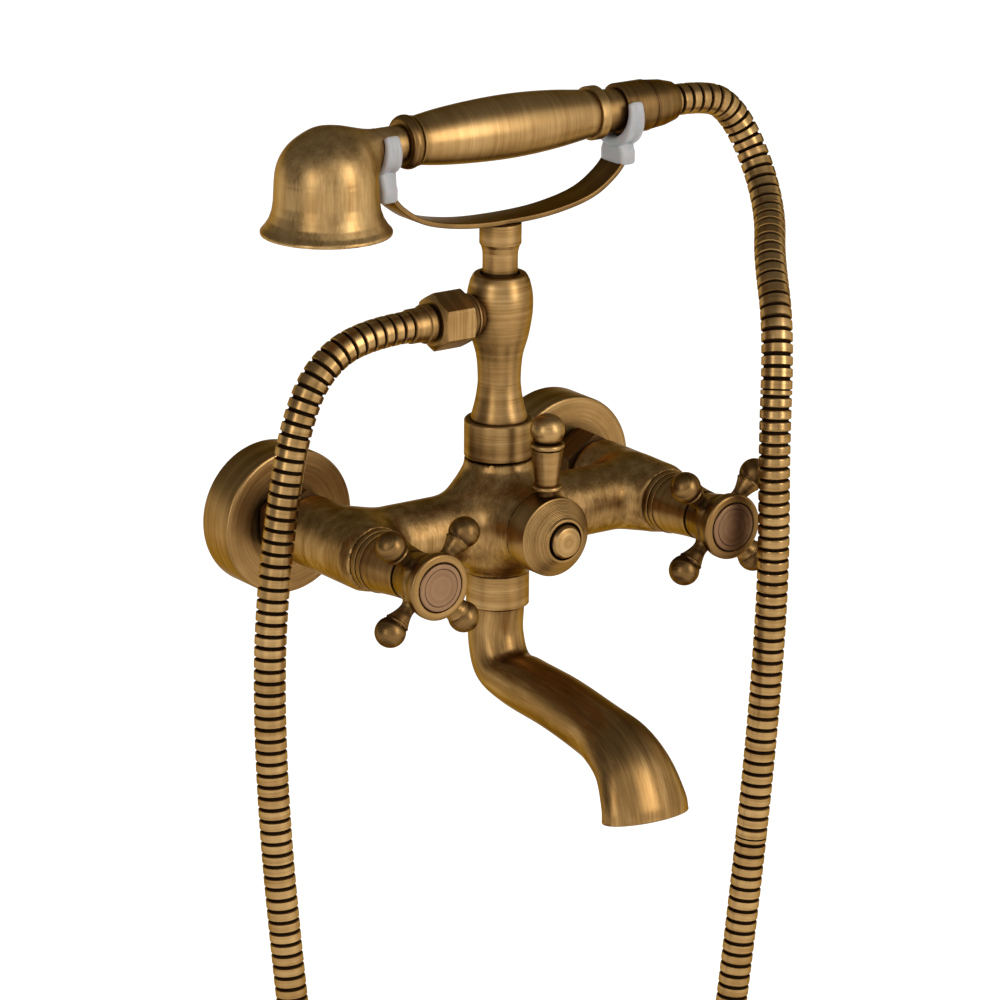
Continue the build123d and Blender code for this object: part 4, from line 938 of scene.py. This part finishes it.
# Riser column, collar and hose outlet
riserShape = {
    "collar": [
        (13.1, 30.2), (14.4, 30.2, 0.2), (15.1, 30.9, 0.4), (15.1, 46.5, 0.5), (14.4, 47.2, 0.3),
        (12.6, 47.2, 0.2), (12.6, 42.1), (13.1, 42.1),
    ],
    "base": [(0, 38.5), (12.9, 38.5), (12.9, 42.0), (12.4, 42.0), (12.4, 47.4)],
    "neck": 9.35, "bulb": 14.4, "foot": 47.5, "top": 112.0,
    "shares": [  # height, swelling
        (0.000, 0.604), (0.113, 0.240), (0.200, 0.060), (0.279, 0.000), (0.430, 0.149),
        (0.569, 0.624), (0.700, 0.920), (0.790, 1.000), (0.870, 0.940), (0.950, 0.720),
    ],
    "crown": [
        (11.9, 111.0), (11.2, 111.9, 0.8), (8.8, 112.0, 0.2), (8.0, 110.6), (7.7, 109.0), (7.7, 101.5),
        (0, 101.5),
    ],
}


def riserOutline():
    neck, foot = riserShape["neck"], riserShape["foot"]
    swelling, height = riserShape["bulb"] - neck, riserShape["top"] - foot
    run = [(neck + swelling * swell, foot + height * share) for share, swell in riserShape["shares"]]
    return riserShape["base"] + smoothRun(run) + roundedOutline(riserShape["crown"])


addTurned("riserTurned", columnAxis, riserOutline(), turnedBrass, nodes=("riser_column",), angle=40)
addTurned("riserCollarTurned", columnAxis, roundedOutline(riserShape["collar"]), turnedBrass,
          nodes=("riser_collar",), closed=True)

outletShape = {
    "dish": [
        (0, 8.5), (7, 8.5), (7, 12.0), (8.2, 12.6, 0.5), (8.7, 14.2, 0.8), (9.9, 15.9, 0.2),
        (10.0, 16.5, 0.3), (9.2, 17.0, 0.2), (8.6, 18.0, 0.3), (7.1, 18.4), (7.0, 19.2), (10.3, 19.2),
        (10.3, 27), (0, 27),
    ],
    "nut": {"flats": 22.8, "start": 19.1, "end": 36.1, "bore": 7.8, "chamfer": 1.7, "cornerCut": 0.3},
    "ferrule": [
        (4.5, 31.2), (7.6, 31.2), (7.6, 37.4, 0.2), (8.5, 37.6, 0.4), (8.5, 40.4, 0.5), (7.6, 40.8, 0.2),
        (7.5, 47.6, 0.5), (6.2, 48.2), (4.5, 48.2),
    ],
}
addTurned("outletTurned", outletAxis, roundedOutline(outletShape["dish"]), brightBrass,
          nodes=("hose_outlet",))
addHexNut("hoseHexTurned", outletAxis, outletShape["nut"], turnedBrass, "hose_hex_nut")
addTurned("lowerFerruleTurned", outletAxis, roundedOutline(outletShape["ferrule"]), turnedBrass,
          nodes=("lower_ferrule",), closed=True)
print("riser done")

# Spout: sections that lean forward, flatten and widen to the mouth
spoutShape = {
    "neckRadius": 11.8, "pipeRadius": 12.8, "mouthHalfWidth": 21.5, "mouthHalfDepth": 11.2, "wall": 2.2,
    "forward": 110.0, "drop": 65.8, "top": -37.0, "neckTop": -31.3, "stepsPerRow": 9, "sides": 96,
    "shares": [  # forward, drop, lean in degrees, pipe, mouth
        (0.000, 0.000, 0.0, 0.00, 0.00), (-0.010, 0.215, 8.0, 0.40, 0.00), (0.040, 0.410, 39.0, 0.83, 0.00),
        (0.181, 0.466, 67.0, 1.00, 0.00), (0.433, 0.497, 76.0, 1.00, 0.03), (0.672, 0.556, 76.0, 1.00, 0.13),
        (0.806, 0.602, 61.0, 1.00, 0.42), (0.917, 0.714, 31.0, 1.00, 0.63), (0.985, 0.893, 11.0, 1.00, 0.91),
        (1.000, 1.000, 6.0, 1.00, 1.00),
    ],
    "collar": [
        (11.9, -37), (12.7, -37, 0.3), (13.8, -36.2, 0.4), (13.8, -21.9, 0.4), (13.4, -21.3, 0.2),
        (12.6, -21.3), (12.6, -33), (11.9, -33),
    ],
    "rim": 0.5, "topInset": 1.5, "rimShare": 0.3, "innerRows": slice(-3, -14, -2),
}


def addSpout():
    sides, rim, wall = spoutShape["sides"], spoutShape["rim"], spoutShape["wall"]
    thin, pipeRadius = spoutShape["neckRadius"], spoutShape["pipeRadius"]
    rows = smoothRun(spoutShape["shares"], spoutShape["stepsPerRow"], 5)
    start, neck = np.zeros(5), spoutShape["neckTop"] - spoutShape["top"]
    bevel = rim * spoutShape["rimShare"]
    # each ring: its row, how far it is set in and how far it stands back from the row
    rings = [(start, spoutShape["topInset"], neck), (start, 0, neck)] + [(row, 0, 0) for row in rows[:-1]]
    for inset, back in ((0, rim), (bevel, bevel), (rim, 0), (wall - rim, 0), (wall, rim)):
        rings.append((rows[-1], inset, back))
    rings += [(row, wall, 0) for row in rows[spoutShape["innerRows"]]]
    points, marks, travelled, last = [], [], 0, None
    for (forward, drop, lean, pipe, mouth), inset, back in rings:
        pipe, mouth = min(max(pipe, 0), 1), min(max(mouth, 0), 1)
        base = thin + (pipeRadius - thin) * pipe
        width = base + (spoutShape["mouthHalfWidth"] - pipeRadius) * mouth - inset
        depth = base + (spoutShape["mouthHalfDepth"] - pipeRadius) * mouth - inset
        tilt = math.radians(lean)
        ahead = np.array((0, -math.sin(tilt), -math.cos(tilt)))
        upward = np.array((0, math.cos(tilt), -math.sin(tilt)))
        centre = np.array((
            columnAxis.translation.x / mm, columnAxis.translation.y / mm - forward * spoutShape["forward"],
            spoutShape["top"] - drop * spoutShape["drop"],
        )) - ahead * back
        if last is not None:
            travelled += np.linalg.norm(centre - last)
        last = centre
        for index in range(sides):
            angle = math.tau * index / sides
            x, y = width * math.cos(angle), depth * math.sin(angle)
            points.append(centre + np.array((1, 0, 0)) * x + upward * y)
            marks.append((travelled, x, y))
    addPiece("spoutPipe", np.array(points) * mm, loftFaces(len(rings), sides), np.array(marks) * mm,
             lengthBrass, "spout_body", ("spout",), angle=40)


addSpout()
addTurned("spoutCollarTurned", columnAxis, roundedOutline(spoutShape["collar"]), turnedBrass,
          nodes=("spout_collar",), closed=True)
print("spout done")

# Cradle: stem and strap
cradleShape = {
    "stem": [
        (0, 101.8), (7.5, 101.8), (7.5, 112.0, 0.1), (7.7, 113.0, 0.4), (7.6, 117), (7.7, 121.5, 1.0),
        (8.3, 123.9, 0.6), (9.1, 125.4, 0.4), (9.1, 134.2, 0.4), (8.0, 134.8), (0, 134.8),
    ],
    "bottom": 134.8, "thick": 2.4, "width": 15.0, "halfSpan": 62.5, "rise": 21.0, "edge": 0.6, "edgeSteps": 4,
    "lineSteps": 10,
    "shares": [  # sideways, rise
        (-1.0, 1.0), (-0.88, 0.60), (-0.68, 0.25), (-0.36, 0.05), (0.0, 0.0), (0.36, 0.05), (0.68, 0.25),
        (0.88, 0.60), (1.0, 1.0),
    ],
}


def addStrap():
    half, thick, edge = cradleShape["width"] / 2, cradleShape["thick"] / 2, cradleShape["edge"]
    span, low, rise = cradleShape["halfSpan"], cradleShape["bottom"] + thick, cradleShape["rise"]
    line = [(share * span, low + climb * rise) for share, climb in cradleShape["shares"]]
    line = np.array(smoothRun(line, cradleShape["lineSteps"]))
    slopes = np.gradient(line, axis=0)
    slopes /= np.linalg.norm(slopes, axis=1)[:, None]
    section = []
    for corner, (sideways, upright) in enumerate(((1, 1), (-1, 1), (-1, -1), (1, -1))):
        for step in range(cradleShape["edgeSteps"] + 1):
            angle = math.pi / 2 * step / cradleShape["edgeSteps"] + corner * math.pi / 2
            section.append((
                sideways * (half - edge) + edge * math.cos(angle),
                upright * (thick - edge) + edge * math.sin(angle),
            ))
    middle = columnAxis.translation
    points, marks, travelled = [], [], 0
    for index, (spot, slope) in enumerate(zip(line, slopes)):
        if index:
            travelled += np.linalg.norm(spot - line[index - 1])
        for across, lift in section:
            x, z = spot[0] - slope[1] * lift, spot[1] + slope[0] * lift
            points.append((x * mm + middle.x, across * mm + middle.y, z * mm))
            marks.append((across * mm, travelled * mm, lift * mm))
    faces = loftFaces(len(line), len(section), flipped=True)
    addPiece("strapBand", points, faces, marks, strapBrass, "cradle_body", ("cradle_strap",), angle=40)


addTurned("stemTurned", columnAxis, roundedOutline(cradleShape["stem"]), turnedBrass, "cradle_body",
          ("cradle_stem",))
addStrap()

# Clips: a soft fork with tapering prongs round each end of the handset, on a block that holds the strap
clipShape = {
    "places": {"left": (-62.0, 8.0), "right": (62.0, 11.6)},  # across, radius of what the fork holds
    "thickBelow": 4.7, "thickTip": 2.6, "halfBelow": 5.0, "halfTip": 3.4, "prong": 4.6, "steps": 48,
    "taper": 0.8, "bandShares": (0.03, 0.97),
    "tips": [(0.0, 0.35), (0.004, 0.7), (0.012, 0.92)],  # place along the band, size of its section
    "section": [
        (-1.0, 0.25), (-1.0, 0.7), (-0.9, 0.93), (-0.66, 1.0), (-0.42, 0.98), (-0.26, 0.88), (0.0, 0.84),
        (0.26, 0.88), (0.42, 0.98), (0.66, 1.0), (0.9, 0.93), (1.0, 0.7), (1.0, 0.25), (0.88, 0.05),
        (0.6, 0.0), (-0.6, 0.0), (-0.88, 0.05),
    ],
    "block": [
        (152.5, 3.4, 7.0), (152.8, 4.0, 7.7), (153.6, 4.4, 8.2), (158.0, 4.4, 8.2), (160.0, 4.4, 7.2),
    ],
    "blockPower": 5.0, "blockTop": (1.2, 4.9, 5.6),  # sunk into the fork, half width, half length
}


def clipFork(middle, inner):
    # the band goes from the front tip down round the piece that it holds and up to the back tip
    reach = math.pi / 2 + math.asin(clipShape["prong"] / inner)
    shares = [share for share, size in clipShape["tips"]]
    sizes = [size for share, size in clipShape["tips"]]
    band = list(np.linspace(*clipShape["bandShares"], clipShape["steps"]))
    shares = shares + band + [1 - share for share in reversed(shares)]
    sizes = sizes + [1.0] * len(band) + sizes[::-1]
    points = []
    for share, size in zip(shares, sizes):
        angle = (2 * share - 1) * reach
        weight = (0.5 + 0.5 * math.cos(angle * math.pi / reach)) ** clipShape["taper"]
        thick = clipShape["thickTip"] + (clipShape["thickBelow"] - clipShape["thickTip"]) * weight
        half = clipShape["halfTip"] + (clipShape["halfBelow"] - clipShape["halfTip"]) * weight
        for across, depth in clipShape["section"]:
            radius = inner + thick * (0.5 + (depth - 0.5) * size)
            points.append((
                middle[0] + across * half * size, middle[1] + radius * math.sin(angle),
                middle[2] - radius * math.cos(angle),
            ))
    return points, len(clipShape["section"])


def clipBlock(middle, inner, sides=32):
    sunk, halfWide, halfLong = clipShape["blockTop"]
    power = 2 / clipShape["blockPower"]
    points = []
    for height, halfX, halfY in clipShape["block"] + [(middle[2] - inner - sunk, halfWide, halfLong)]:
        for index in range(sides):
            angle = -math.tau * index / sides
            x = math.copysign(abs(math.cos(angle)) ** power, math.cos(angle)) * halfX
            y = math.copysign(abs(math.sin(angle)) ** power, math.sin(angle)) * halfY
            points.append((middle[0] + x, middle[1] + y, height))
    return points, sides


def addClip(side):
    x, inner = clipShape["places"][side]
    middle = (x, gripMiddle.y / mm, gripMiddle.z / mm)
    points, faces = [], []
    for made, ring in (clipFork(middle, inner), clipBlock(middle, inner)):
        faces += loftFaces(len(made) // ring, ring, len(points))
        points += made
    addPiece(
        side + "ClipFork", np.array(points) * mm, faces, None, clipPlastic, "cradle_body", (side + "_clip",),
        angle=50,
    )


for side in ("left", "right"):
    addClip(side)
print("cradle done")

# Handset: bell and neck as one casting, grip, nipple, cone nut
handsetShape = {
    "bell": [
        (0, 145.0), (24.5, 145.0), (24.5, 142.2, 0.3), (24.9, 142, 0.2), (28.0, 142, 0.5), (28.0, 143.3, 0.5),
        (26.2, 145.4, 1.5), (24.4, 148.3, 3), (23.1, 152.0, 5), (22.5, 156.0, 6), (22.1, 165.0, 3),
    ],
    "domeRadius": 22.0, "domeCentre": 165.0, "neck": [(0, -89.5), (7.7, -89.5), (7.7, -52.2), (0, -52.2)],
    "neckBlend": 10 * mm, "voxel": 0.6 * mm,
    "grip": [
        (10.3, -44.8), (10.9, -41.5), (12.2, -31), (13.3, -16), (13.8, 0), (13.5, 14), (12.5, 28),
        (11.2, 39.0), (10.4, 45.0),
    ],
    "gripEnd": [(10.4, 45.4), (11.8, 45.6, 0.5), (11.8, 50.2, 0.6), (0, 50.2)],
    "gripStart": [(0, -52.0), (9.8, -52.0), (9.8, -46.4)], "gripBead": (10.2, -46.3, -44.9, 0.7, 8),
    "looseBead": (9.9, -51.9, -46.5, 1.8, 16), "domeSteps": 40,
    "nipple": [
        (0, 38.5), (8.2, 38.5), (8.2, 50.3), (9.3, 50.4, 0.2), (9.3, 59.9, 0.2), (8.8, 60), (8.8, 68.9),
        (0, 68.9),
    ],
    "coneNut": [
        (8.9, 60.1), (10.7, 60.1, 0.3), (11.3, 60.8, 0.4), (11.3, 74.9, 0.2), (10.6, 75.1, 0.1),
        (10.6, 76.0, 0.1), (10.9, 76.2, 0.3), (10.1, 84.0, 0.5), (8.6, 89.9, 0.4), (7.3, 89.9),
        (7.3, 73.1), (8.9, 73.1),
    ],
    "ferrule": [(4.5, 73.1), (7.2, 73.1), (7.2, 91.1, 0.3), (4.5, 91.1)],
}


def addHandset():
    radius = handsetShape["domeRadius"]
    dome = ballEnd(radius, handsetShape["domeCentre"], radius, handsetShape["domeSteps"])
    bell = roundedOutline(handsetShape["bell"]) + dome[1:]
    mesh, surface = meltedMesh(
        "bellAndNeck",
        [(bellAxis, bell, 0), (handsetAxis, handsetShape["neck"], handsetShape["neckBlend"])],
        handsetShape["voxel"],
    )
    offset = surface - np.array(bellAxis.translation)
    marks = np.stack([offset[:, 2], offset[:, 0], offset[:, 1]], 1)
    dressMesh("bellAndNeck", mesh, marks, bellBrass, "handset_body", ("handset_head",), angle=50)
    grip = handsetShape["gripStart"] + bead(*handsetShape["gripBead"]) + smoothRun(handsetShape["grip"])
    grip += roundedOutline(handsetShape["gripEnd"])
    nipple, coneNut, ferrule = [roundedOutline(handsetShape[key]) for key in ("nipple", "coneNut", "ferrule")]
    for name, outline, look, nodes, closed in (
        ("gripBeadTurned", bead(*handsetShape["looseBead"]), deepBrass, (), True),
        ("gripTurned", grip, gripBrass, ("handset_grip",), False),
        ("nippleTurned", nipple, turnedBrass, ("handset_nipple",), False),
        ("coneNutTurned", coneNut, deepBrass, ("cone_nut",), True),
        ("upperFerruleTurned", ferrule, deepBrass, ("upper_ferrule",), True),
    ):
        addTurned(name, handsetAxis, outline, look, "handset_body", nodes, closed)


addHandset()
print("handset done")


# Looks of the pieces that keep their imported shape, by the slot that they have in the record
slotLooks = {
    "antique_brass": looseBrass,
    "hose_brass": hoseBrass,
    "raw_brass": plainMaterial("rawBrass", (0.55, 0.40, 0.16, 1), (0.66, 0.50, 0.22, 1), 300, 0.35, 1.0),
    "white_plastic": clipPlastic,
    "black_rubber": plainMaterial("sealRubber", (0.012, 0.012, 0.012, 1), (0.03, 0.03, 0.03, 1), 500, 0.6),
    "valve_ceramic": plainMaterial("valveCeramic", (0.80, 0.79, 0.75, 1), (0.86, 0.85, 0.82, 1), 400, 0.15),
    "slip_plastic": plainMaterial("slipPlastic", (0.70, 0.69, 0.65, 1), (0.78, 0.77, 0.74, 1), 200, 0.4),
    "screw_steel": plainMaterial("screwSteel", (0.50, 0.50, 0.50, 1), (0.62, 0.62, 0.62, 1), 600, 0.3, 1.0),
}
for name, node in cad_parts.items():
    slotName = "antique_brass"
    for holder in node.material_slots:
        for known in slotLooks:
            if holder.material and known in holder.material.name:
                slotName = known
    for holder in node.material_slots:
        holder.material = slotLooks[slotName]
print("materials given")


# Studio: pale floor, soft lamps, white backdrop that camera, glossy and transmission rays see
studio = {
    "floorDrop": 15 * mm, "floorSize": 24.0, "floorColour": (0.82, 0.82, 0.82, 1), "floorGlow": 0.72,
    "worldStrength": 0.5, "white": (1, 1, 1, 1),
    "lamps": [
        # name, place, aim, width, height, watts
        ("keyPanel", (0.75, -2.1, 0.75), (0, -0.07, 0.03), 0.6, 1.5, 18),
        ("leftPanel", (-2.1, -0.9, 0.6), (0, -0.07, 0.03), 0.5, 1.3, 8),
    ],
    # dim cards above, behind, at both sides and in front of the object, seen only in reflections
    "cardGlow": 0.2,
    "cards": [
        [(-2.4, -1.1, 1.5), (2.4, -1.1, 1.5), (2.4, 2.2, 1.5), (-2.4, 2.2, 1.5)],
        [(-2.4, 2.2, 1.5), (2.4, 2.2, 1.5), (2.4, 2.2, 0.5), (-2.4, 2.2, 0.5)],
        [(-2.6, -0.6, 1.5), (-2.6, 2.2, 1.5), (-2.6, 2.2, -0.3), (-2.6, -0.6, -0.3)],
        [(2.6, 0.3, 1.5), (2.6, 2.2, 1.5), (2.6, 2.2, -0.2), (2.6, 0.3, -0.2)],
        [(-0.95, -3.2, 1.4), (-0.25, -3.2, 1.4), (-0.25, -3.2, -0.2), (-0.95, -3.2, -0.2)],
    ],
}


def seenRays(tree):
    path = tree.nodes.new("ShaderNodeLightPath")
    seen = mathNode(tree, "ADD", path.outputs["Is Camera Ray"], path.outputs["Is Glossy Ray"])
    return mathNode(tree, "ADD", seen, path.outputs["Is Transmission Ray"], clamp=True)


def addStudio():
    world = bpy.data.worlds.new("studio")
    scene.world = world
    world.use_nodes = True
    tree = world.node_tree
    tree.nodes.clear()
    output = tree.nodes.new("ShaderNodeOutputWorld")
    strength = rangeNode(tree, seenRays(tree), 0.0, 1.0, studio["worldStrength"])
    backdrop = addNode(tree, "ShaderNodeBackground", {"Color": studio["white"], "Strength": strength})
    tree.links.new(backdrop.outputs[0], output.inputs["Surface"])
    half, height = studio["floorSize"] / 2, cadBounds[0].z - studio["floorDrop"]
    mesh = bpy.data.meshes.new("floor")
    mesh.from_pydata(
        [(-half, -half, height), (half, -half, height), (half, half, height), (-half, half, height)],
        [], [(0, 1, 2, 3)],
    )
    floor = bpy.data.objects.new("floor", mesh)
    scene.collection.objects.link(floor)
    material, tree, output = emptyMaterial("paleFloor")
    matte = addNode(tree, "ShaderNodeBsdfDiffuse", {"Color": studio["floorColour"]})
    glow = addNode(tree, "ShaderNodeEmission", {
        "Color": studio["white"], "Strength": mathNode(tree, "MULTIPLY", seenRays(tree), studio["floorGlow"]),
    })
    both = addNode(tree, "ShaderNodeAddShader", {0: matte.outputs[0], 1: glow.outputs[0]})
    tree.links.new(both.outputs[0], output.inputs["Surface"])
    mesh.materials.append(material)
    corners = [corner for card in studio["cards"] for corner in card]
    mesh = bpy.data.meshes.new("dimCard")
    mesh.from_pydata(corners, [], [tuple(range(start, start + 4)) for start in range(0, len(corners), 4)])
    card = bpy.data.objects.new("dimCard", mesh)
    card.visible_camera = card.visible_diffuse = card.visible_shadow = card.visible_transmission = False
    scene.collection.objects.link(card)
    material, tree, output = emptyMaterial("dimCard")
    glow = addNode(tree, "ShaderNodeEmission", {"Color": studio["white"], "Strength": studio["cardGlow"]})
    tree.links.new(glow.outputs[0], output.inputs["Surface"])
    mesh.materials.append(material)
    for name, place, aim, width, tall, watts in studio["lamps"]:
        data = bpy.data.lights.new(name, "AREA")
        data.shape, data.size, data.size_y, data.energy = "RECTANGLE", width, tall, watts
        lamp = bpy.data.objects.new(name, data)
        lamp.location = place
        lamp.rotation_euler = (Vector(aim) - Vector(place)).to_track_quat("-Z", "Y").to_euler()
        scene.collection.objects.link(lamp)


addStudio()
print("studio lit")
